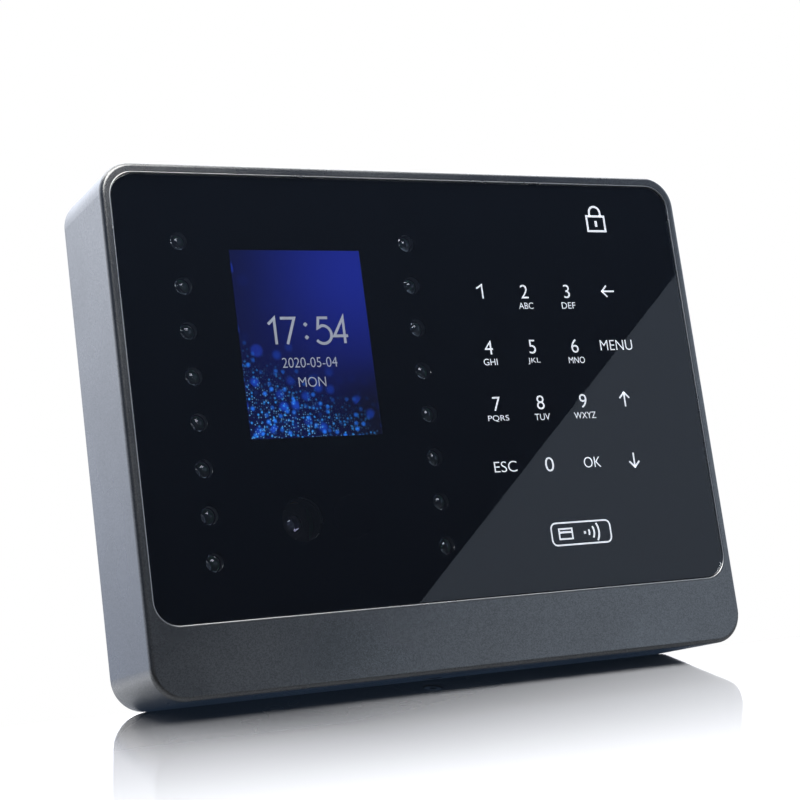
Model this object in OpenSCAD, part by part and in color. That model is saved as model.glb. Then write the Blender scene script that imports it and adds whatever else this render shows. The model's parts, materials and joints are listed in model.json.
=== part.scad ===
// Face-recognition access and attendance terminal, a wall unit that also stands on its lower edge.
// Millimetres. x runs to the right as the user sees the front, y runs from the front to the back,
// z runs up. The origin is under the middle of the terminal, on the surface that it stands on.

/* [Body] */
// Width of the housing
body_w = 202.4; // [198:1:260]
// Height of the housing
body_h = 157; // [150:1:200]
// Depth of the housing from its face to its back rim
body_d = 34.9; // [34:0.5:45]
// Outline radius of the housing's four corners
corner_r = 10; // [8:0.5:14]
// Rounding where the sides meet the face
edge_r = 1.4; // [1:0.1:2]
// Thickness of the housing's side walls
wall = 2.4; // [2:0.1:3]

/* [Front glass] */
// Strip of housing left at each side of the glass
glass_side = 3.1; // [2.5:0.1:6]
// Strip of housing left above the glass
glass_top = 3.4; // [2.5:0.1:6]
// Height of the painted band under the glass
band_h = 21.1; // [12:0.5:21.5]
// Outline radius of the glass
glass_r = 7.4; // [5:0.2:7.6]
// Thickness of the glass
glass_t = 1.6; // [1:0.1:2]
// How far the glass lies below the face
glass_inset = 0.1; // [0:0.05:0.3]
// Width of the bright ring round the glass
trim_w = 0.6; // [0.4:0.1:1]
// Thickness of the printed film behind the glass
film_t = 0.2; // [0.1:0.05:0.3]
// Thickness of the adhesive frame behind the film
tape_t = 0.3; // [0.2:0.05:0.5]
// Thickness of the housing behind the glass
ledge_t = 2; // [1.6:0.1:2.4]

/* [Display] */
// Width of the lit picture
lcd_w = 43.2; // [40:0.5:44]
// Height of the lit picture
lcd_h = 57.6; // [52:0.5:58]
// Distance of the display's centre from the middle of the face, to the left
lcd_off = 41.2; // [41:0.1:41.5]
// Height of the display's centre above the base
lcd_z = 101.9; // [100:0.5:103]

/* [Infrared lamps] */
// Lamps in each column
led_count = 8; // [4:1:8]
// Distance from one lamp to the next
led_pitch = 13.6; // [10:0.2:13.8]
// Distance between the two columns
led_span = 75.5; // [75:0.1:76]
// Distance of the columns' middle line from the middle of the face, to the left
led_off = 40.6; // [40.4:0.1:40.8]
// Height of the columns' centre above the base
led_z = 85.6; // [85:0.1:87]
// Diameter of a lamp
led_d = 5; // [4:0.5:5]

/* [Cameras] */
// Distance between the two lenses
cam_span = 16.5; // [15.5:0.1:17]
// Height of the lenses above the base
cam_z = 48.7; // [48:0.1:49.5]
// Diameter of each camera window
cam_window_d = 13.1; // [10:0.1:13.2]
// Depth of the lens's front behind the face
cam_depth = 9.4; // [9:0.1:10]

/* [Touch keys] */
// Distance between key columns
key_dx = 16.1; // [14:0.1:16.4]
// Distance between key rows
key_dz = 18.2; // [16:0.1:18.6]
// Distance of the keypad's centre from the middle of the face, to the right
key_off = 44.9; // [44:0.1:45.5]
// Height of the keypad's centre above the base
key_z = 88.2; // [87:0.1:90]

/* [Wall plate] */
// Width of the steel plate
plate_w = 144; // [140:1:150]
// Height of the steel plate
plate_h = 134; // [130:1:136]
// Thickness of the steel plate
plate_t = 1.5; // [1.2:0.1:1.8]
// Horizontal distance between the wall screw holes
wall_hole_dx = 124; // [120:1:126]
// Vertical distance between the wall screw holes
wall_hole_dz = 100; // [96:1:104]
// Diameter of the wall screw holes
wall_hole_d = 4.5; // [4:0.1:5]
// How far the terminal lifts before its hooks are free
lift = 7; // [6:0.1:7]

/* [Tamper plunger] */
// How far the plunger stands out of the back
tamper_out = 1.5; // [1:0.1:2]
// Diameter of the plunger's rod
tamper_d = 3.6; // [3:0.1:4]

/* [Reset button] */
// How far the reset button travels
reset_travel = 0.5; // [0.3:0.1:0.6]

/* [Fits] */
// Gap between parts that are put together and don't move
fit = 0.2; // [0.15:0.05:0.3]
// Gap between parts that move past each other
clear = 0.3; // [0.3:0.05:0.4]
// Radial gap of a pin that slides in its own hole
run = 0.1; // [0.05:0.01:0.1]

/* [Hidden] */
$fn = 64;

// A joint between two shapes overlaps by this much.
eps = 0.01;
// The plane of the face: the plunger's tip and the face lie equally far from the origin.
front_y = -(body_d + tamper_out) / 2;
// A cut that starts in the air starts this far out.
over = 5;

// Screws
screw_m2_r = 1;
screw_m2_head_r = 1.9;
screw_m2_head_h = 1.1;
screw_m25_r = 1.25;
screw_m25_head_r = 2.3;
screw_m25_head_h = 1.5;
thread_gap = 0.05;

// Depths behind the face
glass_back = glass_inset + glass_t;
film_back = glass_back + film_t;
ledge_front = film_back + tape_t;
ledge_back = ledge_front + ledge_t;

// Outlines on the face
glass_w = body_w - 2 * glass_side;
glass_z0 = band_h;
glass_z1 = body_h - glass_top;
glass_zc = (glass_z0 + glass_z1) / 2;
glass_h = glass_z1 - glass_z0;
inner_w = body_w - 2 * wall;
inner_h = body_h - 2 * wall;
inner_r = corner_r - wall;

// Display module: the picture, then the border of the panel round it
lcd_x = -lcd_off;
panel_side = 3.4;
panel_top = 3.1;
panel_foot = 8.5;
module_w = lcd_w + 2 * panel_side;
module_z0 = lcd_z - lcd_h / 2 - panel_foot;
module_z1 = lcd_z + lcd_h / 2 + panel_top;
module_zc = (module_z0 + module_z1) / 2;
module_h = module_z1 - module_z0;
panel_front = film_back + fit;
panel_back = panel_front + 1.4;
backlight_back = panel_back + 3;
bracket_t = 0.8;
bracket_back = backlight_back + bracket_t;
bracket_lug_x = module_w / 2 + 3.8;
bracket_lug_z = 25;
bracket_lug_h = 8;

// Lamps
led_r = led_d / 2;
led_tip = film_back + clear;
led_dome = led_tip + led_r;
led_base = led_tip + 7.6;
led_flange_t = 1;
led_flange_r = led_r + 0.45;
led_screw_bite = 3.4;
led_leg_x = 1.27;
led_leg_r = 0.25;
led_leg_hole_r = 0.4;
led_leg_end = 0.9;
led_back = led_base + led_flange_t;
led_board_front = led_back + 0.4;
led_board_t = 1.6;
led_board_back = led_board_front + led_board_t;
led_board_w = 9;
led_screw_z = led_pitch * (led_count - 1) / 2 + 6.9;
led_board_h = 2 * led_screw_z + 7;
led_bore_r = led_r + 0.2;
led_window_r = led_r + 0.2;
baffle_back = led_base - fit;
function column_x(side) = -led_off + side * led_span / 2;

// Cameras
cam_xc = lcd_x;
function cam_x(side) = cam_xc + side * cam_span / 2;
hood_back = cam_depth - 0.4;
barrel_r = 4.5;
barrel_l = 5;
barrel_mouth_r = 3;
barrel_mouth = 1.6;
barrel_bore_r = 2.2;
lens_r = 2.95;
lens_bulge = 5;
lens_deep = 1.5;
holder_neck_r = 6;
holder_base = 13.4;
holder_front = cam_depth + 1.4;
holder_step = holder_front + 2.4;
cam_board_front = 16;
cam_board_t = 1.2;
cam_board_back = cam_board_front + cam_board_t;
cam_screw_x = 21;
cam_screw_head_h = 0.6;
cam_board_w = 48;
cam_board_h = 14;

// Touch keys: the board behind the glass is a little larger than the field of keys
touch_w = 3 * key_dx + 25.7;
touch_h = 3 * key_dz + 23.4;
touch_t = 1;
touch_front = film_back;

// Main board
board_front = 15;
board_t = 1.6;
board_back = board_front + board_t;
board_x0 = -73;
board_x1 = inner_w / 2 - 9.8;
board_z0 = 59;
board_z1 = body_h - 11;
board_w = board_x1 - board_x0;
board_h = board_z1 - board_z0;
board_holes = [[board_x0 + 3.4, board_z0 + 2.6], [board_x1 - 3.5, board_z0 + 3],
    [board_x0 + 3.4, board_z1 - 5], [board_x1 - 3.5, board_z1 - 5]];

board_screw_l = 8;
post_m25_r = 2.6;
post_m2_r = 2.3;
lcd_post_r = 2.2;

// Parts on the back of the main board: [x, z]
shield_at = [-12, 108];
shield_w = 36;
shield_h = 30;
shield_deep = 3;
shield_t = 0.5;
shield_lid_t = 0.3;
chip_z = 112;
chip_x = [18, 32];
chip_w = 10;
chip_h = 14;
chip_t = 1.1;
cell_at = [-48, 97];
cell_r = 10;
cell_t = 3.2;
cell_floor_t = 0.6;
cell_holder_r = 11.6;
cell_holder_h = 3.6;
relay_at = [-50, 122];
relay_w = 19;
relay_h = 15;
relay_deep = 9;

// Rear cover: a plate with a shallow seat for the wall plate and a deep bay for the cables
cover_t = 2.4;
seat_wall = 2;
plate_back = body_d;
plate_front = plate_back - plate_t;
seat_floor = plate_front - clear;
seat_inner = seat_floor - seat_wall;
cover_inner = body_d - cover_t;
cover_gap = 0.25;
cover_w = inner_w - 2 * cover_gap;
cover_h = inner_h - 2 * cover_gap;
cover_r = inner_r - cover_gap;
plate_z0 = 13;
plate_z1 = plate_z0 + plate_h;
plate_r = 6;
seat_gap = 0.5;
seat_z0 = plate_z0 - lift - 0.8;
seat_z1 = plate_z1 + seat_gap;
bay_wall = 2;
bay_x = 19.6;
bay_w = 68;
bay_z0 = wall + cover_gap + bay_wall;
bay_z1 = board_z0 - 3;
bay_floor = 17.6;
plate_window_w = bay_w - 10;
plate_window_z0 = 20;
plate_window_z1 = 54;
plate_window_r = 4;
light_window_w = 56;
light_window_h = 44;
light_window_z = 98;
plunger_slot_w = 8;
wall_hole_z = 80;
pocket_depth = 3;
pocket_r = 5.5;

// Hooks of the wall plate
hook_x = 40;
hook_z = [72, 125];
hook_w = 8;
hook_t = 1.2;
hook_lip = 5;
hook_front = seat_inner - clear - hook_t;
slot_h = hook_t + clear + lift + seat_gap;

// Lock screw, up through the base into the plate's tab
lock_y = body_d - 8;
lock_r = 1.4;
lock_head_r = 2.75;
lock_head_h = 1.6;
lock_hex_r = 1.2;
lock_hex_deep = 0.9;
lock_top = plate_z0 + 4;
tab_z = plate_z0 - 0.6;
tab_t = 1.2;
tab_w = 12;

// Case screws and their brass inserts
case_x = inner_w / 2 - 4.2;
case_z = [wall + 9.6, body_h / 2, body_h - wall - 9.6];
boss_r = 4.6;
insert_r = 2.3;
insert_l = 6;
insert_bore = 1.3;
boss_end = cover_inner - fit;
case_screw_r = 1.25;
case_head_r = 2.8;
case_head_h = 1.6;
case_screw_l = 8;

// Speaker, behind slots in the right-hand wall
speaker_z = 42;
speaker_depth = 18;
speaker_r = 10;
speaker_t = 5;
gasket_t = 0.8;
gasket_rim = 1.3;
speaker_cup_r = 6.5;
speaker_rim_t = 2;
speaker_collar_t = 1.5;
speaker_collar_l = speaker_t + gasket_t - 1;
slot_count = 7;
slot_pitch = 2.4;
slot_w = 1.2;
slot_l = 12;

// Tamper plunger: rod, collar inside the cover, spring between the collar and the switch
tamper_x = 62;
tamper_z = 100;
tamper_r = tamper_d / 2;
tamper_collar_r = 3.4;
tamper_collar_t = 1;
tamper_collar_back = seat_inner - clear;
tamper_collar_front = tamper_collar_back - tamper_collar_t;
tamper_switch_w = 6;
tamper_switch_back = board_back + 4.5;
tamper_stem_r = 1.6;
tamper_stem = 0.6;
tamper_rod_front = tamper_switch_back + tamper_out + 0.5;
spring_wire = 0.5;
spring_r = tamper_r + 0.75;
spring_turns = 7;

// Reset button, pushed up from the cable bay
reset_x = 32;
reset_depth = bay_floor + 3;
reset_r = 1.2;
reset_body_z = board_z0 + 1.2;
reset_switch_w = 6;
reset_switch_h = 4;
reset_out = 1.2;

// Sockets on the main board, mouths down into the bay
jack_z0 = bay_z1 + fit;
ethernet_x = -5.3;
ethernet_w = 15.8;
ethernet_deep = 13;
usb_x = 11.1;
usb_w = 13.8;
usb_deep = 7;
power_x = 24.1;
power_w = 9;
power_deep = 11;
terminal_x = 43.6;
terminal_ways = 4;
terminal_pitch = 3.81;
terminal_w = terminal_ways * terminal_pitch;
terminal_deep = 9;
ethernet_h = 20;
usb_h = 17;
power_h = 14;
terminal_h = 12;
plug_w = 11.8;
plug_t = 8;
plug_l = 12.5;
latch_w = 6;
latch_t = 1.6;
usb_plug_w = 12.5;
usb_plug_t = 5.12;
usb_plug_l = 11;
usb_tongue_w = 11.2;
usb_tongue_t = 1.9;
power_bore_r = 3.1;
power_pin_r = 1;
power_bore_l = 11;
wire_w = 2.6;
wire_t = 3.2;
wire_l = 8;
wire_screw_r = 1.5;
wire_screw_l = 2.4;

// Connectors on the front of the main board: [x, z, width, height]
connector_t = 1.4;
lcd_ribbon_x = lcd_x + 14;
cam_ribbon_z = board_z0 + 8.4;
leads_x = board_x0 + 0.6;
leads_z = 104;
connectors = [[lcd_ribbon_x, board_z0 + 2.6, 18, 3.6], [key_off, key_z - 14, 14, 4],
    [cam_xc, cam_ribbon_z, 14, 3], [leads_x + 2, leads_z, 4, 8]];

// ---------------------------------------------------------------- helpers

// A flat outline in x and z, made solid from depth d0 to depth d1 behind the face.
module slab(d0, d1) {
    translate([0, front_y + d1, 0])
        rotate([90, 0, 0])
            linear_extrude(d1 - d0)
                children();
}

// A box from depth d0 to d1, centred on x and z.
module block(x, z, w, h, d0, d1) {
    translate([x - w / 2, front_y + d0, z - h / 2])
        cube([w, d1 - d0, h]);
}

// A round bar along y, from depth d0 to d1.
module rod(x, z, r, d0, d1) {
    translate([x, front_y + d1, z])
        rotate([90, 0, 0])
            cylinder(r = r, h = d1 - d0);
}

// A rectangle with round corners, centred.
module rounded(w, h, r) {
    square([w - 2 * r, h], center = true);
    square([w, h - 2 * r], center = true);
    for (sx = [-1, 1], sz = [-1, 1])
        translate([sx * (w / 2 - r), sz * (h / 2 - r)])
            circle(r);
}

// An upright slot with round ends, centred.
module upright_slot(w, h) {
    square([w, h - w], center = true);
    for (t = [-1, 1])
        translate([0, t * (h - w) / 2])
            circle(w / 2);
}

// The section through a wall of the body: square at the back, rounded at the face.
module edge_section(reach, depth) {
    translate([0, edge_r])
        square([reach, depth - edge_r]);
    square([reach - edge_r, edge_r]);
    intersection() {
        translate([reach - edge_r, edge_r])
            circle(edge_r);
        translate([reach - edge_r, 0])
            square(edge_r);
    }
}

// The body's outer form: a middle block, four bars with a round front edge and four corners.
module body_form() {
    across = body_w - 2 * corner_r;
    up = body_h - 2 * corner_r;
    translate([-across / 2, front_y, corner_r])
        cube([across, body_d, up]);
    for (s = [-1, 1]) {
        translate([s * across / 2, front_y, body_h / 2])
            mirror([s < 0 ? 1 : 0, 0, 0])
                translate([0, 0, -up / 2])
                    linear_extrude(up)
                        edge_section(corner_r, body_d);
        translate([0, front_y, body_h / 2 + s * up / 2])
            mirror([0, 0, s < 0 ? 1 : 0])
                translate([-across / 2, 0, 0])
                    rotate([90, 0, 90])
                        linear_extrude(across)
                            mirror([1, -1, 0])
                                edge_section(corner_r, body_d);
        for (t = [-1, 1])
            translate([s * across / 2, front_y, body_h / 2 + t * up / 2])
                mirror([s < 0 ? 1 : 0, 0, 0])
                    mirror([0, 0, t < 0 ? 1 : 0])
                        rotate([-90, 0, 0])
                            rotate([0, 0, -90])
                                rotate_extrude(angle = 90)
                                    edge_section(corner_r, body_d);
    }
}

// ---------------------------------------------------------------- front

module glass_outline(grow) {
    translate([0, glass_zc])
        rounded(glass_w + 2 * grow, glass_h + 2 * grow, glass_r + grow);
}

module module_outline(grow) {
    translate([lcd_x, module_zc])
        square([module_w + 2 * grow, module_h + 2 * grow], center = true);
}

module lamp_places() {
    for (i = [0 : led_count - 1])
        translate([0, 0, led_z + (i - (led_count - 1) / 2) * led_pitch])
            children();
}

// A hollow post on the back of the ledge, with a blind hole for a thread-forming screw.
module post(x, z, r, bore, d1) {
    difference() {
        rod(x, z, r, ledge_back - eps, d1);
        rod(x, z, bore, ledge_back + 0.6, d1 + over);
    }
}

module front_housing() {
    color([0.44, 0.47, 0.51])
        difference() {
            union() {
                difference() {
                    body_form();
                    slab(ledge_back, body_d + over)
                        translate([0, body_h / 2])
                            rounded(inner_w, inner_h, inner_r);
                }
                for (s = [-1, 1])
                    for (z = case_z)
                        difference() {
                            rod(s * case_x, z, boss_r, ledge_back - eps, boss_end);
                            rod(s * case_x, z, insert_r + thread_gap, boss_end - insert_l - 3, boss_end + over);
                        }
                for (p = board_holes)
                    post(p[0], p[1], post_m25_r, screw_m25_r + thread_gap, board_front);
                for (s = [-1, 1], t = [-1, 1])
                    post(lcd_x + s * bracket_lug_x, lcd_z + t * bracket_lug_z, lcd_post_r,
                        screw_m2_r + thread_gap, backlight_back);
                for (s = [-1, 1], t = [-1, 1])
                    post(column_x(s), led_z + t * led_screw_z, post_m2_r, screw_m2_r + thread_gap, baffle_back);
                for (s = [-1, 1])
                    post(cam_xc + s * cam_screw_x, cam_z, post_m2_r, screw_m2_r + thread_gap, cam_board_front);
                // collar that holds the speaker against the wall
                translate([inner_w / 2 - speaker_collar_l, front_y + speaker_depth, speaker_z])
                    rotate([0, 90, 0])
                        difference() {
                            cylinder(r = speaker_r + fit + speaker_collar_t, h = speaker_collar_l + eps);
                            translate([0, 0, -eps])
                                cylinder(r = speaker_r + fit, h = speaker_collar_l + over);
                        }
            }
            // pocket for the ring, the glass, the film and the tape
            slab(-over, ledge_front)
                glass_outline(trim_w);
            // windows through the ledge
            slab(ledge_front - eps, ledge_back + eps)
                module_outline(fit);
            slab(ledge_front - eps, ledge_back + eps)
                translate([key_off, key_z])
                    square([touch_w + 2 * fit, touch_h + 2 * fit], center = true);
            for (s = [-1, 1])
                lamp_places()
                    rod(column_x(s), 0, led_r + 0.3, ledge_front - eps, ledge_back + eps);
            for (s = [-1, 1])
                rod(cam_x(s), cam_z, cam_window_d / 2 + 0.3, ledge_front - eps, ledge_back + eps);
            // sound slots in the right-hand wall
            for (i = [0 : slot_count - 1])
                translate([inner_w / 2 - eps, front_y + speaker_depth - slot_l / 2,
                        speaker_z + (i - (slot_count - 1) / 2) * slot_pitch - slot_w / 2])
                    cube([wall + over, slot_l, slot_w]);
            // way in for the lock screw, with a seat for its head
            translate([0, front_y + lock_y, -over])
                cylinder(r = lock_head_r + 0.35, h = over + lock_head_h + 0.3);
            translate([0, front_y + lock_y, 0])
                cylinder(r = lock_r + 0.3, h = wall + 1);
        }
}

module trim_ring() {
    color([0.78, 0.8, 0.82])
        slab(0, ledge_front - fit)
            difference() {
                glass_outline(trim_w - 0.04);
                glass_outline(0.04);
            }
}

module glass_panel() {
    color([0.05, 0.06, 0.09, 0.6])
        slab(glass_inset, glass_back)
            glass_outline(0);
}

module graphic_film() {
    color([0.02, 0.02, 0.03])
        difference() {
            slab(glass_back, film_back)
                glass_outline(-fit);
            slab(glass_back - eps, film_back + eps)
                translate([lcd_x, lcd_z])
                    square([lcd_w, lcd_h], center = true);
            for (s = [-1, 1])
                lamp_places()
                    rod(column_x(s), 0, led_window_r, glass_back - eps, film_back + eps);
            for (s = [-1, 1])
                rod(cam_x(s), cam_z, cam_window_d / 2, glass_back - eps, film_back + eps);
        }
}

// A frame of double-sided tape that keeps clear of every window in the ledge.
module panel_tape() {
    color([0.12, 0.12, 0.13])
        difference() {
            slab(film_back, ledge_front)
                difference() {
                    glass_outline(-fit);
                    glass_outline(-7);
                }
            lamp_places()
                rod(column_x(-1), 0, led_r + 0.6, film_back - over, ledge_back);
        }
}

// ---------------------------------------------------------------- display

module lcd_panel() {
    color([0.06, 0.1, 0.45])
        slab(panel_front, panel_back)
            module_outline(0);
}

module lcd_backlight() {
    color([0.86, 0.86, 0.84])
        slab(panel_back, backlight_back)
            module_outline(-0.2);
}

module lcd_bracket() {
    lug_w = 2 * (bracket_lug_x + 2.2);
    color([0.66, 0.67, 0.68])
        difference() {
            union() {
                block(lcd_x, lcd_z, module_w - 4, 2 * bracket_lug_z + bracket_lug_h + 6,
                    backlight_back, bracket_back);
                for (t = [-1, 1])
                    block(lcd_x, lcd_z + t * bracket_lug_z, lug_w, bracket_lug_h,
                        backlight_back, bracket_back);
            }
            block(lcd_x, lcd_z, module_w - 20, 2 * bracket_lug_z - 12, backlight_back - 1, bracket_back + 1);
            for (s = [-1, 1], t = [-1, 1])
                rod(lcd_x + s * bracket_lug_x, lcd_z + t * bracket_lug_z, screw_m2_r + fit,
                    backlight_back - 1, bracket_back + 1);
        }
}

// The flat cable folds down from the display's foot and back to its connector.
module lcd_ribbon() {
    w = 16;
    t = 0.3;
    low = module_z0 - 3.6;
    ahead = panel_back + 1;
    far = board_front - connector_t;
    color([0.72, 0.45, 0.12])
        translate([lcd_ribbon_x - w / 2, 0, 0])
            rotate([90, 0, 90])
                linear_extrude(w)
                    union() {
                        translate([front_y + ahead, low])
                            square([t, module_z0 - low]);
                        translate([front_y + ahead, low])
                            square([far - ahead, t]);
                    }
}

// A pan-head screw that points to the front, its head's seat at depth d.
module screw(x, z, r, head_r, head_h, length, d) {
    difference() {
        union() {
            rod(x, z, r, d - length, d + eps);
            rod(x, z, head_r, d, d + head_h);
        }
        block(x, z, head_r * 1.1, 0.5, d + head_h * 0.45, d + head_h + 1);
        block(x, z, 0.5, head_r * 1.1, d + head_h * 0.45, d + head_h + 1);
    }
}

module lcd_screws() {
    color([0.7, 0.7, 0.72])
        for (s = [-1, 1], t = [-1, 1])
            screw(lcd_x + s * bracket_lug_x, lcd_z + t * bracket_lug_z, screw_m2_r, screw_m2_head_r,
                screw_m2_head_h, bracket_t + 1.5, bracket_back);
}

// ---------------------------------------------------------------- touch keys

module touch_board() {
    color([0.06, 0.3, 0.14])
        block(key_off, key_z, touch_w, touch_h, touch_front, touch_front + touch_t);
}

module touch_ribbon() {
    color([0.85, 0.85, 0.82])
        block(key_off, key_z - 14, 12, 0.3, touch_front + touch_t, board_front - connector_t);
}

// ---------------------------------------------------------------- infrared lamps

module led_board(side) {
    color([0.05, 0.28, 0.13])
        difference() {
            block(column_x(side), led_z, led_board_w, led_board_h, led_board_front, led_board_back);
            for (t = [-1, 1])
                rod(column_x(side), led_z + t * led_screw_z, screw_m2_r + fit,
                    led_board_front - 1, led_board_back + 1);
            lamp_places()
                for (t = [-1, 1])
                    rod(column_x(side) + t * led_leg_x, 0, led_leg_hole_r,
                        led_board_front - 1, led_board_back + 1);
        }
}

// One clear lamp: dome, barrel, flange and two legs through the board.
module lamp(x) {
    translate([x, front_y + led_dome, 0])
        rotate([90, 0, 0])
            intersection() {
                sphere(led_r);
                cylinder(r = led_r + 1, h = led_r + 1);
            }
    rod(x, 0, led_r, led_dome, led_base);
    rod(x, 0, led_flange_r, led_base, led_back);
    for (t = [-1, 1])
        rod(x + t * led_leg_x, 0, led_leg_r, led_back, led_board_back + led_leg_end);
}

module leds(side) {
    color([0.82, 0.86, 0.9, 0.7])
        lamp_places()
            lamp(column_x(side));
}

module led_baffle(side) {
    x = column_x(side);
    color([0.03, 0.03, 0.03])
        difference() {
            union() {
                block(x, led_z, led_board_w - 0.4, led_board_h, ledge_back, baffle_back);
                for (t = [-1, 1])
                    block(x, led_z + t * led_screw_z, led_board_w - 0.4, 6.4, ledge_back, led_board_front);
            }
            lamp_places()
                rod(x, 0, led_bore_r, ledge_back - 1, baffle_back + 1);
            for (t = [-1, 1]) {
                rod(x, led_z + t * led_screw_z, post_m2_r + fit, ledge_back - 1, baffle_back);
                rod(x, led_z + t * led_screw_z, screw_m2_r + fit, baffle_back - 1, led_board_front + 1);
            }
        }
}

module led_leads() {
    from_x = column_x(-1) + led_board_w / 2 - 3;
    color([0.7, 0.12, 0.1])
        for (i = [-1 : 1])
            translate([0, front_y, leads_z + i * 1.8 - 0.6])
                linear_extrude(1.2)
                    polygon([[from_x, led_board_back], [from_x + 1.2, led_board_back],
                        [leads_x, board_front - 1.1], [leads_x, board_front - 0.3]]);
}

module led_screws() {
    color([0.7, 0.7, 0.72])
        for (s = [-1, 1], t = [-1, 1])
            screw(column_x(s), led_z + t * led_screw_z, screw_m2_r, screw_m2_head_r, screw_m2_head_h,
                led_board_back - baffle_back + led_screw_bite, led_board_back);
}

// ---------------------------------------------------------------- cameras

module camera_hood() {
    color([0.02, 0.02, 0.02])
        difference() {
            block(cam_xc, cam_z, cam_span + 17.4, cam_window_d + 3, ledge_back, hood_back);
            for (s = [-1, 1])
                rod(cam_x(s), cam_z, cam_window_d / 2 + 0.1, ledge_back - 1, hood_back + 1);
        }
}

module camera_board() {
    color([0.05, 0.2, 0.32])
        difference() {
            block(cam_xc, cam_z, cam_board_w, cam_board_h, cam_board_front, cam_board_back);
            for (s = [-1, 1])
                rod(cam_xc + s * cam_screw_x, cam_z, screw_m2_r + fit, cam_board_front - 1, cam_board_back + 1);
        }
}

module image_sensors() {
    color([0.12, 0.12, 0.14])
        for (s = [-1, 1])
            block(cam_x(s), cam_z, 6.4, 5.6, cam_board_front - 0.8, cam_board_front);
}

module lens_holder(side) {
    x = cam_x(side);
    inside = holder_base - 2.4;
    color([0.04, 0.04, 0.045])
        difference() {
            union() {
                block(x, cam_z, holder_base, holder_base, holder_step, cam_board_front);
                rod(x, cam_z, holder_neck_r, holder_front, holder_step + eps);
            }
            rod(x, cam_z, barrel_r + 0.05, holder_front - 1, cam_board_front - 1);
            block(x, cam_z, inside, inside, holder_step + 1.2, cam_board_front + 1);
        }
}

module lens_barrel(side) {
    x = cam_x(side);
    color([0.03, 0.03, 0.035])
        difference() {
            rod(x, cam_z, barrel_r, cam_depth, cam_depth + barrel_l);
            rod(x, cam_z, barrel_mouth_r, cam_depth - 1, cam_depth + barrel_mouth);
            rod(x, cam_z, barrel_bore_r, cam_depth + 1, cam_depth + barrel_l + 1);
        }
}

// The front element: a plano-convex lens, seated on the barrel's shoulder.
module lens_glass(side) {
    color([0.3, 0.25, 0.55, 0.6])
        intersection() {
            rod(cam_x(side), cam_z, lens_r, cam_depth + 0.1, cam_depth + lens_deep);
            translate([cam_x(side), front_y + cam_depth + 0.15 + lens_bulge, cam_z])
                sphere(lens_bulge);
        }
}

// The flat cable runs over the top edge of the camera board and up to its connector.
module camera_ribbon() {
    t = 0.2;
    w = 10;
    top = cam_z + cam_board_h / 2;
    ahead = board_front - connector_t - t;
    color([0.72, 0.45, 0.12])
        translate([cam_xc - w / 2, front_y, 0])
            rotate([90, 0, 90])
                linear_extrude(w)
                    union() {
                        translate([cam_board_back, top - 4])
                            square([t, 4 + 0.1 + t]);
                        translate([ahead, top + 0.1])
                            square([cam_board_back + t - ahead, t]);
                        translate([ahead, top + 0.1])
                            square([t, cam_ribbon_z + 1 - top]);
                    }
}

module camera_screws() {
    color([0.7, 0.7, 0.72])
        for (s = [-1, 1])
            screw(cam_xc + s * cam_screw_x, cam_z, screw_m2_r, screw_m2_head_r, cam_screw_head_h,
                cam_board_t + 4, cam_board_back);
}

// ---------------------------------------------------------------- main board

module main_board() {
    color([0.04, 0.26, 0.12])
        difference() {
            block(board_x0 + board_w / 2, board_z0 + board_h / 2, board_w, board_h, board_front, board_back);
            for (p = board_holes)
                rod(p[0], p[1], screw_m25_r + fit, board_front - 1, board_back + 1);
        }
}

module board_connectors() {
    color([0.9, 0.88, 0.8])
        for (c = connectors)
            block(c[0], c[1], c[2], c[3], board_front - connector_t, board_front);
}

module processor_shield() {
    color([0.75, 0.76, 0.77])
        difference() {
            block(shield_at[0], shield_at[1], shield_w, shield_h, board_back, board_back + shield_deep);
            block(shield_at[0], shield_at[1], shield_w - 2 * shield_t, shield_h - 2 * shield_t,
                board_back - 1, board_back + shield_deep - shield_lid_t);
        }
}

module memory_chips() {
    color([0.08, 0.08, 0.09])
        for (x = chip_x)
            block(x, chip_z, chip_w, chip_h, board_back, board_back + chip_t);
}

module coin_cell_holder() {
    color([0.1, 0.1, 0.1])
        difference() {
            rod(cell_at[0], cell_at[1], cell_holder_r, board_back, board_back + cell_holder_h);
            rod(cell_at[0], cell_at[1], cell_r + 0.1, board_back + cell_floor_t, board_back + over);
        }
}

module coin_cell() {
    color([0.8, 0.8, 0.82])
        rod(cell_at[0], cell_at[1], cell_r, board_back + cell_floor_t, board_back + cell_floor_t + cell_t);
}

module relay() {
    color([0.1, 0.25, 0.6])
        block(relay_at[0], relay_at[1], relay_w, relay_h, board_back, board_back + relay_deep);
}

module board_screws() {
    color([0.75, 0.7, 0.5])
        for (p = board_holes)
            screw(p[0], p[1], screw_m25_r, screw_m25_head_r, screw_m25_head_h, board_screw_l, board_back);
}

// ---------------------------------------------------------------- sockets

// A socket's shell: it stands on the main board with its mouth on the bay's ceiling.
module socket_shell(x, w, h, deep) {
    translate([x - w / 2, front_y + board_back, jack_z0])
        cube([w, deep, h]);
}

// A hollow that goes up into a socket from its mouth.
module socket_hollow(x, w, h, from, deep) {
    translate([x - w / 2, front_y + board_back + from, jack_z0 - 1])
        cube([w, deep, h + 1]);
}

module ethernet_jack() {
    color([0.7, 0.71, 0.72])
        difference() {
            socket_shell(ethernet_x, ethernet_w, ethernet_h, ethernet_deep);
            socket_hollow(ethernet_x, plug_w, plug_l, 2, plug_t);
            socket_hollow(ethernet_x, latch_w, plug_l, 1.9 + plug_t, latch_t);
        }
}

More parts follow.
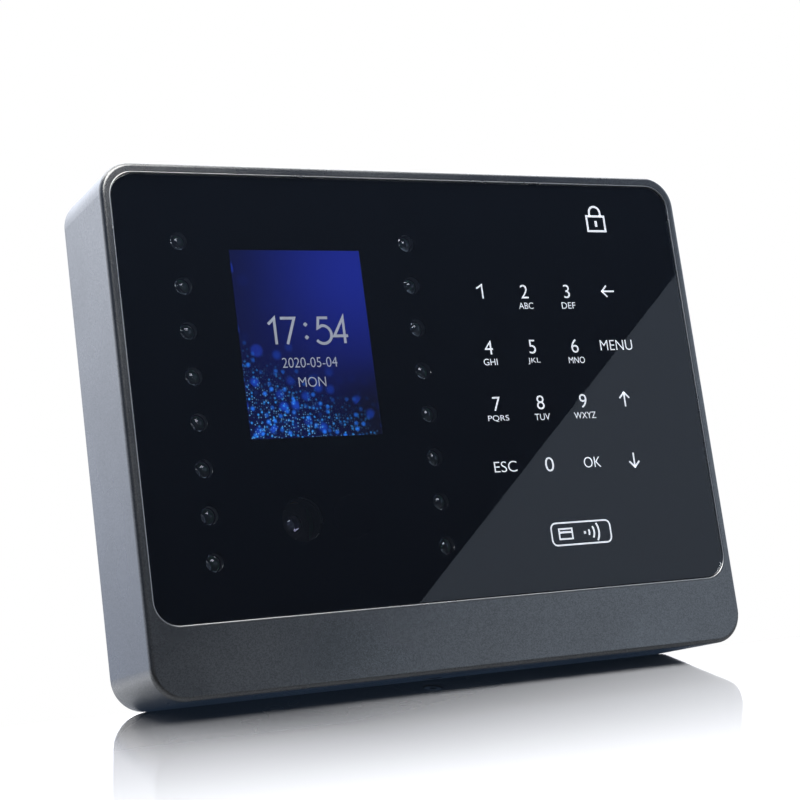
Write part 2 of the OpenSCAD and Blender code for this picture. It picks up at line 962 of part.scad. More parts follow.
module usb_port() {
    color([0.72, 0.73, 0.74])
        difference() {
            socket_shell(usb_x, usb_w, usb_h, usb_deep);
            difference() {
                socket_hollow(usb_x, usb_plug_w, usb_plug_l, (usb_deep - usb_plug_t) / 2, usb_plug_t);
                translate([usb_x - usb_tongue_w / 2, front_y + board_back + 0.9, jack_z0 + 1])
                    cube([usb_tongue_w, usb_tongue_t, usb_plug_l + 1]);
            }
        }
}

module power_jack() {
    color([0.06, 0.06, 0.06])
        difference() {
            socket_shell(power_x, power_w, power_h, power_deep);
            translate([power_x, front_y + board_back + power_deep / 2 + 0.5, jack_z0 - 1])
                difference() {
                    cylinder(r = power_bore_r, h = power_bore_l);
                    translate([0, 0, 1.6])
                        cylinder(r = power_pin_r, h = power_bore_l + 1);
                }
        }
}

module terminal_block() {
    color([0.12, 0.42, 0.2])
        difference() {
            socket_shell(terminal_x, terminal_w, terminal_h, terminal_deep);
            for (i = [0 : terminal_ways - 1]) {
                x = terminal_x + (i - (terminal_ways - 1) / 2) * terminal_pitch;
                socket_hollow(x, wire_w, wire_l, 1.6, wire_t);
                rod(x, jack_z0 + 5, wire_screw_r, board_back + terminal_deep - wire_screw_l,
                    board_back + terminal_deep + 1);
            }
        }
}

// ---------------------------------------------------------------- speaker

module speaker() {
    back_x = inner_w / 2 - gasket_t - speaker_t;
    color([0.15, 0.15, 0.16])
        translate([back_x, front_y + speaker_depth, speaker_z])
            rotate([0, 90, 0])
                union() {
                    cylinder(r = speaker_cup_r, h = speaker_t);
                    translate([0, 0, speaker_t - speaker_rim_t])
                        cylinder(r = speaker_r, h = speaker_rim_t);
                }
}

module speaker_gasket() {
    color([0.05, 0.05, 0.05])
        translate([inner_w / 2 - gasket_t, front_y + speaker_depth, speaker_z])
            rotate([0, 90, 0])
                difference() {
                    cylinder(r = speaker_r - 0.1, h = gasket_t);
                    translate([0, 0, -1])
                        cylinder(r = speaker_r - 0.1 - gasket_rim, h = gasket_t + 2);
                }
}

// ---------------------------------------------------------------- tamper switch

module tamper_switch() {
    color([0.1, 0.1, 0.1])
        union() {
            block(tamper_x, tamper_z, tamper_switch_w, tamper_switch_w, board_back,
                tamper_switch_back - tamper_stem);
            rod(tamper_x, tamper_z, tamper_stem_r, tamper_switch_back - tamper_stem - eps, tamper_switch_back);
        }
}

module tamper_plunger() {
    color([0.85, 0.85, 0.86])
        union() {
            rod(tamper_x, tamper_z, tamper_r, tamper_rod_front, body_d + tamper_out - tamper_r / 2);
            rod(tamper_x, tamper_z, tamper_r - 0.7, body_d + tamper_out - tamper_r, body_d + tamper_out);
            rod(tamper_x, tamper_z, tamper_collar_r, tamper_collar_front, tamper_collar_back);
        }
}

// A coil of round wire along y, its turns between the switch and the plunger's collar.
module coil(r, wire_r, d0, d1, turns) {
    steps = 20;
    sides = 6;
    rings = turns * steps;
    function ring_point(i, j) =
        let (a = 360 * i / steps, b = 360 * j / sides, q = r + wire_r * cos(b))
            [q * cos(a), d0 + (d1 - d0) * i / rings + wire_r * sin(b), q * sin(a)];
    points = [for (i = [0 : rings], j = [0 : sides - 1]) ring_point(i, j)];
    skin = [for (i = [0 : rings - 1], j = [0 : sides - 1])
        [i * sides + j, (i + 1) * sides + j, (i + 1) * sides + (j + 1) % sides, i * sides + (j + 1) % sides]];
    ends = [[for (j = [0 : sides - 1]) j], [for (j = [sides - 1 : -1 : 0]) rings * sides + j]];
    polyhedron(points, concat(skin, ends), convexity = 10);
}

module tamper_spring() {
    color([0.75, 0.75, 0.78])
        translate([tamper_x, front_y, tamper_z])
            coil(spring_r, spring_wire / 2, tamper_switch_back - tamper_stem + spring_wire / 2 + 0.05,
                tamper_collar_front - spring_wire / 2 - 0.05, spring_turns);
}

// ---------------------------------------------------------------- reset

module reset_switch() {
    color([0.1, 0.1, 0.1])
        block(reset_x, reset_body_z + reset_switch_h / 2, reset_switch_w, reset_switch_h, board_back,
            reset_depth + 3);
}

module reset_button() {
    color([0.9, 0.9, 0.88])
        translate([reset_x, front_y + reset_depth, 0])
            union() {
                translate([0, 0, bay_z1 - reset_out])
                    cylinder(r = reset_r, h = reset_body_z - reset_travel - clear - bay_z1 + reset_out);
                translate([0, 0, bay_z1 + bay_wall + clear])
                    cylinder(r = reset_r + 0.5,
                        h = reset_body_z - reset_travel - 2 * clear - bay_z1 - bay_wall);
            }
}

// ---------------------------------------------------------------- back

module case_inserts() {
    color([0.8, 0.62, 0.25])
        for (s = [-1, 1])
            for (z = case_z)
                difference() {
                    rod(s * case_x, z, insert_r, boss_end - insert_l, boss_end);
                    rod(s * case_x, z, insert_bore, boss_end - insert_l - 1, boss_end + 1);
                }
}

// The seat for the wall plate, open upwards in the cover, with room for the plate to travel down.
module seat_outline(grow) {
    w = plate_w + 2 * seat_gap;
    translate([0, (seat_z0 + seat_z1) / 2])
        rounded(w + 2 * grow, seat_z1 - seat_z0 + 2 * grow, plate_r + grow);
}

module pocket_outline(grow) {
    for (s = [-1, 1], t = [-1, 1])
        translate([s * wall_hole_dx / 2, wall_hole_z + t * wall_hole_dz / 2 - lift / 2])
            upright_slot(2 * (pocket_r + grow), 2 * (pocket_r + grow) + lift);
}

module bay_outline(grow) {
    translate([bay_x, (bay_z0 + bay_z1) / 2])
        square([bay_w + 2 * grow, bay_z1 - bay_z0 + 2 * grow], center = true);
}

// Windows in the bay's ceiling: [centre x, width, depth from the board]
ceiling_windows = [[ethernet_x, ethernet_w, ethernet_deep], [usb_x, usb_w, usb_deep],
    [power_x, power_w, power_deep], [terminal_x, terminal_w, terminal_deep]];

module rear_cover() {
    color([0.16, 0.17, 0.18])
        difference() {
            union() {
                slab(cover_inner, body_d)
                    translate([0, body_h / 2])
                        rounded(cover_w, cover_h, cover_r);
                slab(seat_inner, body_d)
                    seat_outline(1);
                slab(seat_inner - pocket_depth, seat_inner + eps)
                    pocket_outline(seat_wall - 0.2);
                slab(bay_floor - bay_wall, body_d)
                    bay_outline(bay_wall);
            }
            slab(seat_floor, body_d + over)
                seat_outline(0);
            slab(seat_floor - pocket_depth, seat_floor + eps)
                pocket_outline(0);
            slab(bay_floor, body_d + over)
                bay_outline(0);
            // slots for the plate's hooks: the hook rests under the slot's top edge
            for (s = [-1, 1])
                for (z = hook_z)
                    block(s * hook_x, z + hook_t / 2 + clear - slot_h / 2, hook_w + 1, slot_h,
                        seat_inner - 1, seat_floor + 1);
            // guide hole of the tamper plunger
            rod(tamper_x, tamper_z, tamper_r + run, seat_inner - 1, seat_floor + 1);
            // sockets look down through the bay's ceiling
            for (c = ceiling_windows)
                translate([c[0] - c[1] / 2 - fit, front_y + board_back - 1.2, bay_z1 - eps])
                    cube([c[1] + 2 * fit, c[2] + 1.2 + fit, bay_wall + 1]);
            translate([reset_x, front_y + reset_depth, bay_z1 - 1])
                cylinder(r = reset_r + clear, h = bay_wall + 2);
            // lock screw
            translate([0, front_y + lock_y, wall - 1])
                cylinder(r = lock_r + 0.3, h = bay_z0 - wall + 2);
            // case screws, their heads sunk into the cover
            for (s = [-1, 1])
                for (z = case_z) {
                    rod(s * case_x, z, case_screw_r + fit, cover_inner - 1, body_d + 1);
                    rod(s * case_x, z, case_head_r + fit, body_d - case_head_h, body_d + 1);
                }
        }
}

module case_screws() {
    color([0.12, 0.12, 0.12])
        for (s = [-1, 1])
            for (z = case_z)
                screw(s * case_x, z, case_screw_r, case_head_r, case_head_h - 0.1, case_screw_l,
                    body_d - case_head_h);
}

module wall_plate() {
    color([0.62, 0.64, 0.66])
        difference() {
            union() {
                slab(plate_front, plate_back)
                    translate([0, (plate_z0 + plate_z1) / 2])
                        rounded(plate_w, plate_h, plate_r);
                // hooks: a neck through the cover and a lip up behind it
                for (s = [-1, 1])
                    for (z = hook_z) {
                        block(s * hook_x, z, hook_w, hook_t, hook_front, plate_front + eps);
                        block(s * hook_x, z + hook_lip / 2, hook_w, hook_t + hook_lip,
                            hook_front, hook_front + hook_t);
                    }
                // tab for the lock screw
                block(0, tab_z + tab_t / 2, tab_w, tab_t, lock_y - 5, plate_front + 0.5);
                block(0, plate_z0 + 1.4, tab_w, 4, plate_front - eps, plate_back);
            }
            // window over the cable bay
            slab(plate_front - 1, plate_back + 1)
                translate([bay_x, (plate_window_z0 + plate_window_z1) / 2])
                    rounded(plate_window_w, plate_window_z1 - plate_window_z0, plate_window_r);
            // lightening window
            slab(plate_front - 1, plate_back + 1)
                translate([0, light_window_z])
                    rounded(light_window_w, light_window_h, plate_window_r);
            for (s = [-1, 1], t = [-1, 1])
                rod(s * wall_hole_dx / 2, wall_hole_z + t * wall_hole_dz / 2, wall_hole_d / 2,
                    plate_front - 1, plate_back + 1);
            // slot that clears the tamper plunger all the way down
            slab(plate_front - 1, plate_back + 1)
                translate([tamper_x, tamper_z + lift / 2])
                    upright_slot(plunger_slot_w, plunger_slot_w + lift);
            translate([0, front_y + lock_y, tab_z - 1])
                cylinder(r = lock_r + run, h = tab_t + 2);
        }
}

module lock_screw() {
    color([0.75, 0.76, 0.78])
        translate([0, front_y + lock_y, 0.3])
            difference() {
                union() {
                    cylinder(r = lock_head_r, h = lock_head_h);
                    cylinder(r = lock_r, h = lock_top);
                }
                translate([0, 0, -1])
                    cylinder(r = lock_hex_r, h = lock_hex_deep + 1, $fn = 6);
            }
}

front_housing();
trim_ring();
glass_panel();
graphic_film();
panel_tape();
lcd_panel();
lcd_backlight();
lcd_bracket();
lcd_ribbon();
lcd_screws();
touch_board();
touch_ribbon();
led_board(-1);  // led_board_left
led_board(1);  // led_board_right
leds(-1);  // leds_left
leds(1);  // leds_right
led_baffle(-1);  // led_baffle_left
led_baffle(1);  // led_baffle_right
led_leads();
led_screws();
camera_hood();
camera_board();
image_sensors();
lens_holder(-1);  // lens_holder_left
lens_holder(1);  // lens_holder_right
lens_barrel(-1);  // lens_barrel_left
lens_barrel(1);  // lens_barrel_right
lens_glass(-1);  // lens_glass_left
lens_glass(1);  // lens_glass_right
camera_ribbon();
camera_screws();
main_board();
board_connectors();
processor_shield();
memory_chips();
coin_cell();
coin_cell_holder();
relay();
board_screws();
ethernet_jack();
usb_port();
power_jack();
terminal_block();
speaker();
speaker_gasket();
tamper_switch();
tamper_plunger();
tamper_spring();
reset_switch();
reset_button();
case_inserts();
rear_cover();
case_screws();
wall_plate();
lock_screw();
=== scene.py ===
# %% [markdown]
# # An access terminal with a glass front, ready for a studio picture
# The real object is a flat plastic box with a dark glass front. Its size and every moving part are
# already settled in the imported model. Here the surfaces get their finish, the glass gets its depth,
# and the small things that repeat, such as lamp inserts and contacts, are grown by node trees.
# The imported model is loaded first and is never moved, so every new piece is placed from its boxes.

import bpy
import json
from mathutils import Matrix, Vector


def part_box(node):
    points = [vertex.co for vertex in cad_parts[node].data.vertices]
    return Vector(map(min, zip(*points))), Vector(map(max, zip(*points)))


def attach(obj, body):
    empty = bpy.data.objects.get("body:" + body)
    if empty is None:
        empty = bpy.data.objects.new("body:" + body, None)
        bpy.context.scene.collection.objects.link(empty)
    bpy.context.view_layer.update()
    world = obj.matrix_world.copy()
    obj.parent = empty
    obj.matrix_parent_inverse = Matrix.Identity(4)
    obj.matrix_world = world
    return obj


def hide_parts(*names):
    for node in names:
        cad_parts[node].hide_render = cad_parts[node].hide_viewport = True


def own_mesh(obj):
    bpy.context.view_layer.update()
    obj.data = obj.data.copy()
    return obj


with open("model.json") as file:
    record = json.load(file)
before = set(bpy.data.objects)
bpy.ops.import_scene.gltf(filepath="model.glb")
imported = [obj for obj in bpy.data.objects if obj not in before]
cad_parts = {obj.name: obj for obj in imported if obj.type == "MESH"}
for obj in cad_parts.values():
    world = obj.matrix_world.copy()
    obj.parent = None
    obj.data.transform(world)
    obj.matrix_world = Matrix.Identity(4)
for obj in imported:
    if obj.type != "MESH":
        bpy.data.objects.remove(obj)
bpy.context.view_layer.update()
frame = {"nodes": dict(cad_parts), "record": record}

# %% [markdown]
# The rest of the script needs Blender's own modules, a millimetre, and a few short names for what is
# read from the frame. Sizes are typed in millimetres because a drawing of the real part has them so.

# %% Units and names
import json
import math

import bmesh
import bpy
from mathutils import Matrix, Vector

MM = 0.001
nodes = frame["nodes"]
scene = bpy.context.scene
collection = scene.collection


def middle(node):
    """The centre of a node's box."""
    low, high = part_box(node)
    return (low + high) / 2


def show(name, mesh):
    """A new object at the origin that shows this mesh."""
    piece = bpy.data.objects.new(name, mesh)
    collection.objects.link(piece)
    return piece


glass_low, glass_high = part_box("glass_panel")
face_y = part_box("front_housing")[0].y
print("the glass is", round((glass_high.x - glass_low.x) / MM, 1), "mm wide")

# %% [markdown]
# ## Camera and stage
# The picture is taken from the left and from slightly below the terminal, with a long lens, so that
# parallel edges stay nearly parallel. A camera's direction is easiest to state with two axes, what
# is right and what is up, because the third follows from them. The terminal should seem to lean back
# a little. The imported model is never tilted, so the pale floor meets only its rear lower edge and
# falls away towards the camera.

# %% Camera
CAMERA_PLACE = Vector((-0.27933, -0.51163, -0.02210))
CAMERA_RIGHT = Vector((0.88377, -0.44949, -0.13005))
CAMERA_UP = Vector((0.02955, -0.22377, 0.97419))
CAMERA_LENS = 84.52

camera_data = bpy.data.cameras.new("camera")
camera_data.lens = CAMERA_LENS
camera_data.sensor_width = 36
camera_data.clip_start = 0.01
camera_data.clip_end = 50
camera = bpy.data.objects.new("camera", camera_data)
collection.objects.link(camera)
camera_back = CAMERA_RIGHT.cross(CAMERA_UP).normalized()
camera.matrix_world = Matrix.Translation(CAMERA_PLACE) @ Matrix(
    (CAMERA_RIGHT, CAMERA_UP, camera_back)).transposed().to_4x4()
scene.camera = camera
scene.view_settings.view_transform = "Standard"
print("camera", round((CAMERA_PLACE - middle("front_housing")).length, 3), "m away")

# %% Floor
FLOOR_SLOPE = math.radians(10)
FLOOR_REACH = 6.0


def make_floor():
    """Level behind the terminal's rear edge, and falling away in front of it."""
    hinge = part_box("rear_cover")[1].y
    drop = math.tan(FLOOR_SLOPE)
    shape = bmesh.new()
    rows = []
    for y in (-FLOOR_REACH, 0.0, FLOOR_REACH):
        z = min(0.0, y) * drop
        rows.append([shape.verts.new((x, hinge + y, z)) for x in (-FLOOR_REACH, FLOOR_REACH)])
    for near, far in zip(rows, rows[1:]):
        shape.faces.new((near[0], near[1], far[1], far[0]))
    mesh = bpy.data.meshes.new("floor")
    shape.to_mesh(mesh)
    shape.free()
    return show("floor", mesh)


floor = make_floor()
print("the floor falls", round(math.degrees(FLOOR_SLOPE), 1), "degrees towards the camera")

# %% [markdown]
# Studio floors are often a glossy sheet, and its sheen is strongest right under the product. Two ramps
# on the floor's own position fade the mirror image away to the front and to the right. To every
# other ray the floor is dark in front and pale behind, which keeps the terminal's face deep in tone,
# and it glows a little blue under the terminal, so that the underside doesn't sink into black.
# Light Path says which rays come from the camera.

# %% Floor finish
def ramp(tree, value, low, high, start, end):
    """Maps a value between low and high to between start and end."""
    made = tree.nodes.new("ShaderNodeMapRange")
    for label, number in (("From Min", low), ("From Max", high), ("To Min", start), ("To Max", end)):
        made.inputs[label].default_value = number
    tree.links.new(value, made.inputs["Value"])
    return made.outputs["Result"]


# A fade runs between two places in mm on the floor, from the third number to the fourth.
SHEEN_DEPTH = (-140, -12, 0.04, 0.84)
SHEEN_WIDTH = (-60, 100, 1.0, 0.4)
GREY_DEPTH = (-60, 60, 0.05, 0.5)
GLOW_DEPTH = (-70, -20, 0.0, 0.08)
FLOOR_WHITE = (0.49, 0.483, 0.475, 1)
FLOOR_MIRROR = (0.97, 0.93, 0.89, 1)
MIRROR_ROUGHNESS = 0.05
GLOW_BLUE = (0.25, 0.42, 0.75, 1)


def fade_along(tree, place, fade):
    """A ramp over a place in metres, from a fade given in mm."""
    near, far, start, end = fade
    return ramp(tree, place, near * MM, far * MM, start, end)


def floor_finish():
    """White with a fading mirror image to the camera, and dark to pale grey to every other ray."""
    made = bpy.data.materials.new("floor")
    made.use_nodes = True
    tree = made.node_tree
    tree.nodes.clear()
    add, join = tree.nodes.new, tree.links.new
    where = add("ShaderNodeTexCoord")
    split = add("ShaderNodeSeparateXYZ")
    join(where.outputs["Object"], split.inputs[0])
    sheen = add("ShaderNodeMath")
    sheen.operation = "MULTIPLY"
    join(fade_along(tree, split.outputs["Y"], SHEEN_DEPTH), sheen.inputs[0])
    join(fade_along(tree, split.outputs["X"], SHEEN_WIDTH), sheen.inputs[1])
    white = add("ShaderNodeBsdfDiffuse")
    white.inputs["Color"].default_value = FLOOR_WHITE
    mirror = add("ShaderNodeBsdfGlossy")
    mirror.inputs["Color"].default_value = FLOOR_MIRROR
    mirror.inputs["Roughness"].default_value = MIRROR_ROUGHNESS
    seen = add("ShaderNodeMixShader")
    join(sheen.outputs[0], seen.inputs["Fac"])
    join(white.outputs[0], seen.inputs[1])
    join(mirror.outputs[0], seen.inputs[2])
    grey = add("ShaderNodeBsdfDiffuse")
    join(fade_along(tree, split.outputs["Y"], GREY_DEPTH), grey.inputs["Color"])
    glow = add("ShaderNodeEmission")
    glow.inputs["Color"].default_value = GLOW_BLUE
    join(fade_along(tree, split.outputs["Y"], GLOW_DEPTH), glow.inputs["Strength"])
    lit = add("ShaderNodeAddShader")
    join(grey.outputs[0], lit.inputs[0])
    join(glow.outputs[0], lit.inputs[1])
    path = add("ShaderNodeLightPath")
    both = add("ShaderNodeMixShader")
    join(path.outputs["Is Camera Ray"], both.inputs["Fac"])
    join(lit.outputs[0], both.inputs[1])
    join(seen.outputs[0], both.inputs[2])
    out = add("ShaderNodeOutputMaterial")
    join(both.outputs[0], out.inputs["Surface"])
    return made


floor.data.materials.append(floor_finish())
print("floor finish", floor.data.materials[0].name)

# %% [markdown]
# ## Light
# Softboxes stand round the object and a sky fills in between them. A glossy black front shows
# whatever stands before it, so the sky is dark on that side, and one pale card on the right gives the
# glass its lighter half. The card's edge has to appear along a chosen line on the glass. Seen in a
# mirror, the camera stands behind the glass, so the edge is laid in the plane through that mirrored
# camera and the line.

# %% Softboxes
# Blender's watts for an area light of one square metre at radiance one
WATTS_PER_RADIANCE = 4


def softbox(name, place, aim, width, height, radiance, colour=(1, 1, 1), upright=(0, 0, 1)):
    """A rectangular light of even radiance that the camera itself doesn't see."""
    data = bpy.data.lights.new(name, "AREA")
    data.shape = "RECTANGLE"
    data.size = width
    data.size_y = height
    data.energy = radiance * width * height * WATTS_PER_RADIANCE
    data.color = colour
    box = bpy.data.objects.new(name, data)
    collection.objects.link(box)
    back = (Vector(place) - Vector(aim)).normalized()
    side = Vector(upright).cross(back).normalized()
    up = back.cross(side)
    box.matrix_world = Matrix.Translation(Vector(place)) @ Matrix((side, up, back)).transposed().to_4x4()
    box.visible_camera = False
    return box


CARD_DISTANCE = 1.7
CARD_SIZE = (1.1, 1.7)
CARD_RADIANCE = 0.64
CARD_COLOUR = (0.7, 0.82, 1.0)
GLOSS_LINE = ((98.2, 123.5), (-14.6, 21.9))


def gloss_card():
    """The card whose reflection ends along the line between two points, x and z, on the glass."""
    mirrored = CAMERA_PLACE.copy()
    mirrored.y = 2 * glass_low.y - mirrored.y
    rays = [(Vector((x * MM, glass_low.y, z * MM)) - mirrored).normalized() for x, z in GLOSS_LINE]
    along = (rays[0] - rays[1]).normalized()
    into = (rays[0] + rays[1]).normalized()
    outward = along.cross(into).normalized()
    if outward.x < 0:
        outward.negate()
    place = mirrored + into * CARD_DISTANCE + outward * CARD_SIZE[0] / 2
    return softbox("card", place, place - into, *CARD_SIZE, CARD_RADIANCE, CARD_COLOUR, upright=along)


gloss_card()
softbox("side_box", (-1.3, 1.1, 0.85), (-0.1, 0, 0.08), 1.0, 0.8, 0.35, (0.9, 0.95, 1.0))
softbox("top_box", (0.0, 0.2, 1.7), (0, 0, 0), 2.4, 2.0, 2.4)
softbox("glint_box", (-0.1, -1.05, 1.1), (0, 0, 0.09), 0.95, 0.85, 6)
softbox("rear_box", (0.9, 1.4, 0.8), (0, 0, 0.08), 1.0, 1.0, 1.2)
print("five softboxes")

# %% Sky
SKY_FRONT = ((0.045, 0.05, 0.06, 1), (0.15, 0.2, 0.31, 1))
SKY_REAR = ((0.53, 0.62, 0.84, 1), (1.98, 2.1, 2.38, 1))
SKY_RISE = (0.0, 0.42)
SKY_TURN = (-0.3, 0.7)


def make_sky():
    """White to the camera. To everything else it is dim in front, bright behind, and brighter above."""
    world = bpy.data.worlds.new("sky")
    world.use_nodes = True
    tree = world.node_tree
    tree.nodes.clear()
    add, join = tree.nodes.new, tree.links.new
    where = add("ShaderNodeTexCoord")
    split = add("ShaderNodeSeparateXYZ")
    join(where.outputs["Generated"], split.inputs[0])
    height = ramp(tree, split.outputs["Z"], *SKY_RISE, 0.0, 1.0)
    behind = ramp(tree, split.outputs["Y"], *SKY_TURN, 0.0, 1.0)
    shades = []
    for low, high in (SKY_FRONT, SKY_REAR):
        mix = add("ShaderNodeMix")
        mix.data_type = "RGBA"
        mix.inputs["A"].default_value = low
        mix.inputs["B"].default_value = high
        join(height, mix.inputs["Factor"])
        shades.append(mix.outputs["Result"])
    colour = add("ShaderNodeMix")
    colour.data_type = "RGBA"
    join(behind, colour.inputs["Factor"])
    join(shades[0], colour.inputs["A"])
    join(shades[1], colour.inputs["B"])
    lit = add("ShaderNodeBackground")
    join(colour.outputs["Result"], lit.inputs["Color"])
    seen = add("ShaderNodeBackground")
    seen.inputs["Color"].default_value = (1, 1, 1, 1)
    path = add("ShaderNodeLightPath")
    either = add("ShaderNodeMixShader")
    join(path.outputs["Is Camera Ray"], either.inputs["Fac"])
    join(lit.outputs[0], either.inputs[1])
    join(seen.outputs[0], either.inputs[2])
    out = add("ShaderNodeOutputWorld")
    join(either.outputs[0], out.inputs["Surface"])
    scene.world = world


make_sky()
print("sky", scene.world.name)

# %% [markdown]
# ## Shared shader effects
# Almost nothing on a product is one flat colour. Two small groups are built once and reused: a fine
# grain, which stands for paint flakes or moulded texture, and a cloud, which stands for the slow
# change in gloss that handling and moulding leave. Both read Object coordinates, so a pattern stays
# on its piece when the piece moves.

# %% Group helpers
def new_group(name, sockets_in, sockets_out):
    """A shader group with named float inputs and float outputs."""
    group = bpy.data.node_groups.new(name, "ShaderNodeTree")
    for label, value in sockets_in:
        socket = group.interface.new_socket(label, in_out="INPUT", socket_type="NodeSocketFloat")
        socket.default_value = value
    for label in sockets_out:
        group.interface.new_socket(label, in_out="OUTPUT", socket_type="NodeSocketFloat")
    return group, group.nodes.new("NodeGroupInput"), group.nodes.new("NodeGroupOutput")


def grain_group():
    """Fine speckle: Shade is a colour factor about one, Height is for a bump."""
    group, enter, leave = new_group("fine_grain", [("Scale", 2500.0), ("Contrast", 0.2)], ["Shade", "Height"])
    add, join = group.nodes.new, group.links.new
    where = add("ShaderNodeTexCoord")
    cells = add("ShaderNodeTexVoronoi")
    noise = add("ShaderNodeTexNoise")
    noise.inputs["Detail"].default_value = 2.0
    tint = add("ShaderNodeSeparateColor")
    spread = add("ShaderNodeMath")
    spread.operation = "SUBTRACT"
    spread.inputs[1].default_value = 0.5
    shade = add("ShaderNodeMath")
    shade.operation = "MULTIPLY_ADD"
    shade.inputs[2].default_value = 1.0
    join(where.outputs["Object"], cells.inputs["Vector"])
    join(where.outputs["Object"], noise.inputs["Vector"])
    join(enter.outputs["Scale"], cells.inputs["Scale"])
    join(enter.outputs["Scale"], noise.inputs["Scale"])
    join(cells.outputs["Color"], tint.inputs[0])
    join(tint.outputs[0], spread.inputs[0])
    join(spread.outputs[0], shade.inputs[0])
    join(enter.outputs["Contrast"], shade.inputs[1])
    join(shade.outputs[0], leave.inputs["Shade"])
    join(noise.outputs[0], leave.inputs["Height"])
    return group


def cloud_group():
    """Slow change: Low to High over distances of some centimetres."""
    group, enter, leave = new_group("slow_cloud", [("Scale", 30.0), ("Low", 0.3), ("High", 0.4)], ["Value"])
    add, join = group.nodes.new, group.links.new
    where = add("ShaderNodeTexCoord")
    noise = add("ShaderNodeTexNoise")
    noise.inputs["Detail"].default_value = 3.0
    between = add("ShaderNodeMapRange")
    between.inputs["From Min"].default_value = 0.3
    between.inputs["From Max"].default_value = 0.7
    join(where.outputs["Object"], noise.inputs["Vector"])
    join(enter.outputs["Scale"], noise.inputs["Scale"])
    join(noise.outputs[0], between.inputs["Value"])
    join(enter.outputs["Low"], between.inputs["To Min"])
    join(enter.outputs["High"], between.inputs["To Max"])
    join(between.outputs["Result"], leave.inputs["Value"])
    return group


GRAIN = grain_group()
CLOUD = cloud_group()
print("groups", GRAIN.name, CLOUD.name)

# %% [markdown]
# ## Finishes
# One function gives every plain finish its grain and its slow change in gloss. What is even all over
# a surface, such as metalness or the weight of a clear coat, is typed straight into the shader.

# %% One function for plain finishes
BUMP_HEIGHT = 0.02


def finish(name, colour, rough, metal=0.0, contrast=0.15, grain=2500.0, bump=0.1, gloss_change=0.05, **even):
    """A material from one base colour, with grain in its colour and surface and a cloud in its gloss."""
    made = bpy.data.materials.new(name)
    made.use_nodes = True
    tree = made.node_tree
    add, join = tree.nodes.new, tree.links.new
    shader = tree.nodes["Principled BSDF"]
    shader.inputs["Metallic"].default_value = metal
    for socket, value in even.items():
        shader.inputs[socket.replace("_", " ")].default_value = value
    speckle = add("ShaderNodeGroup")
    speckle.node_tree = GRAIN
    speckle.inputs["Scale"].default_value = grain
    speckle.inputs["Contrast"].default_value = contrast
    cloud = add("ShaderNodeGroup")
    cloud.node_tree = CLOUD
    cloud.inputs["Low"].default_value = rough - gloss_change
    cloud.inputs["High"].default_value = rough + gloss_change
    tint = add("ShaderNodeVectorMath")
    tint.operation = "SCALE"
    tint.inputs[0].default_value = colour
    dent = add("ShaderNodeBump")
    dent.inputs["Strength"].default_value = bump
    dent.inputs["Distance"].default_value = BUMP_HEIGHT * MM
    join(speckle.outputs["Shade"], tint.inputs["Scale"])
    join(tint.outputs[0], shader.inputs["Base Color"])
    join(cloud.outputs["Value"], shader.inputs["Roughness"])
    join(speckle.outputs["Height"], dent.inputs["Height"])
    join(dent.outputs["Normal"], shader.inputs["Normal"])
    return made


FINISHES = {
    "housing_paint": finish("housing_paint", (0.168, 0.167, 0.162), 0.28, metal=1.0, contrast=0.45,
                            grain=3800, bump=0.15),
    "bright_trim": finish("bright_trim", (0.5, 0.49, 0.47), 0.3, metal=1.0, contrast=0.05, bump=0.03),
    "black_print": finish("black_print", (0.006, 0.0078, 0.012), 0.7, contrast=0.1, bump=0.0,
                          Specular_IOR_Level=0.0),
    "foam_tape": finish("foam_tape", (0.03, 0.03, 0.032), 0.85, contrast=0.4, grain=1500, bump=0.5),
    "white_plastic": finish("white_plastic", (0.72, 0.72, 0.69), 0.45),
    "black_plastic": finish("black_plastic", (0.006, 0.006, 0.007), 0.6, bump=0.2, Specular_IOR_Level=0.15),
    "cover_plastic": finish("cover_plastic", (0.045, 0.048, 0.053), 0.52, contrast=0.25, grain=1400,
                            bump=0.6),
    "circuit_board": finish("circuit_board", (0.012, 0.13, 0.045), 0.35, contrast=0.2, Coat_Weight=0.5),
    "flat_cable": finish("flat_cable", (0.42, 0.2, 0.03), 0.35),
    "white_cable": finish("white_cable", (0.68, 0.68, 0.64), 0.4),
    "red_wire": finish("red_wire", (0.45, 0.02, 0.015), 0.4),
    "sheet_steel": finish("sheet_steel", (0.4, 0.41, 0.43), 0.36, metal=1.0, contrast=0.12, grain=420,
                          bump=0.08, gloss_change=0.1),
    "screw_steel": finish("screw_steel", (0.62, 0.62, 0.62), 0.28, metal=1.0, contrast=0.1),
    "black_steel": finish("black_steel", (0.03, 0.03, 0.031), 0.42, metal=0.6, contrast=0.2),
    "insert_brass": finish("insert_brass", (0.68, 0.46, 0.15), 0.3, metal=1.0),
    "relay_plastic": finish("relay_plastic", (0.02, 0.08, 0.35), 0.35),
    "terminal_plastic": finish("terminal_plastic", (0.02, 0.16, 0.05), 0.45),
    "speaker_cone": finish("speaker_cone", (0.03, 0.03, 0.032), 0.7, contrast=0.3, grain=900, bump=0.5),
    "display": finish("display", (0.008, 0.01, 0.03), 0.3, contrast=0.1),
}
print(len(FINISHES), "plain finishes")

# %% [markdown]
# Glass, lens and lamp resin let light through, so they need a solid shape and a refractive index.
# Their colour is slightly off white, because a tint builds up with thickness.

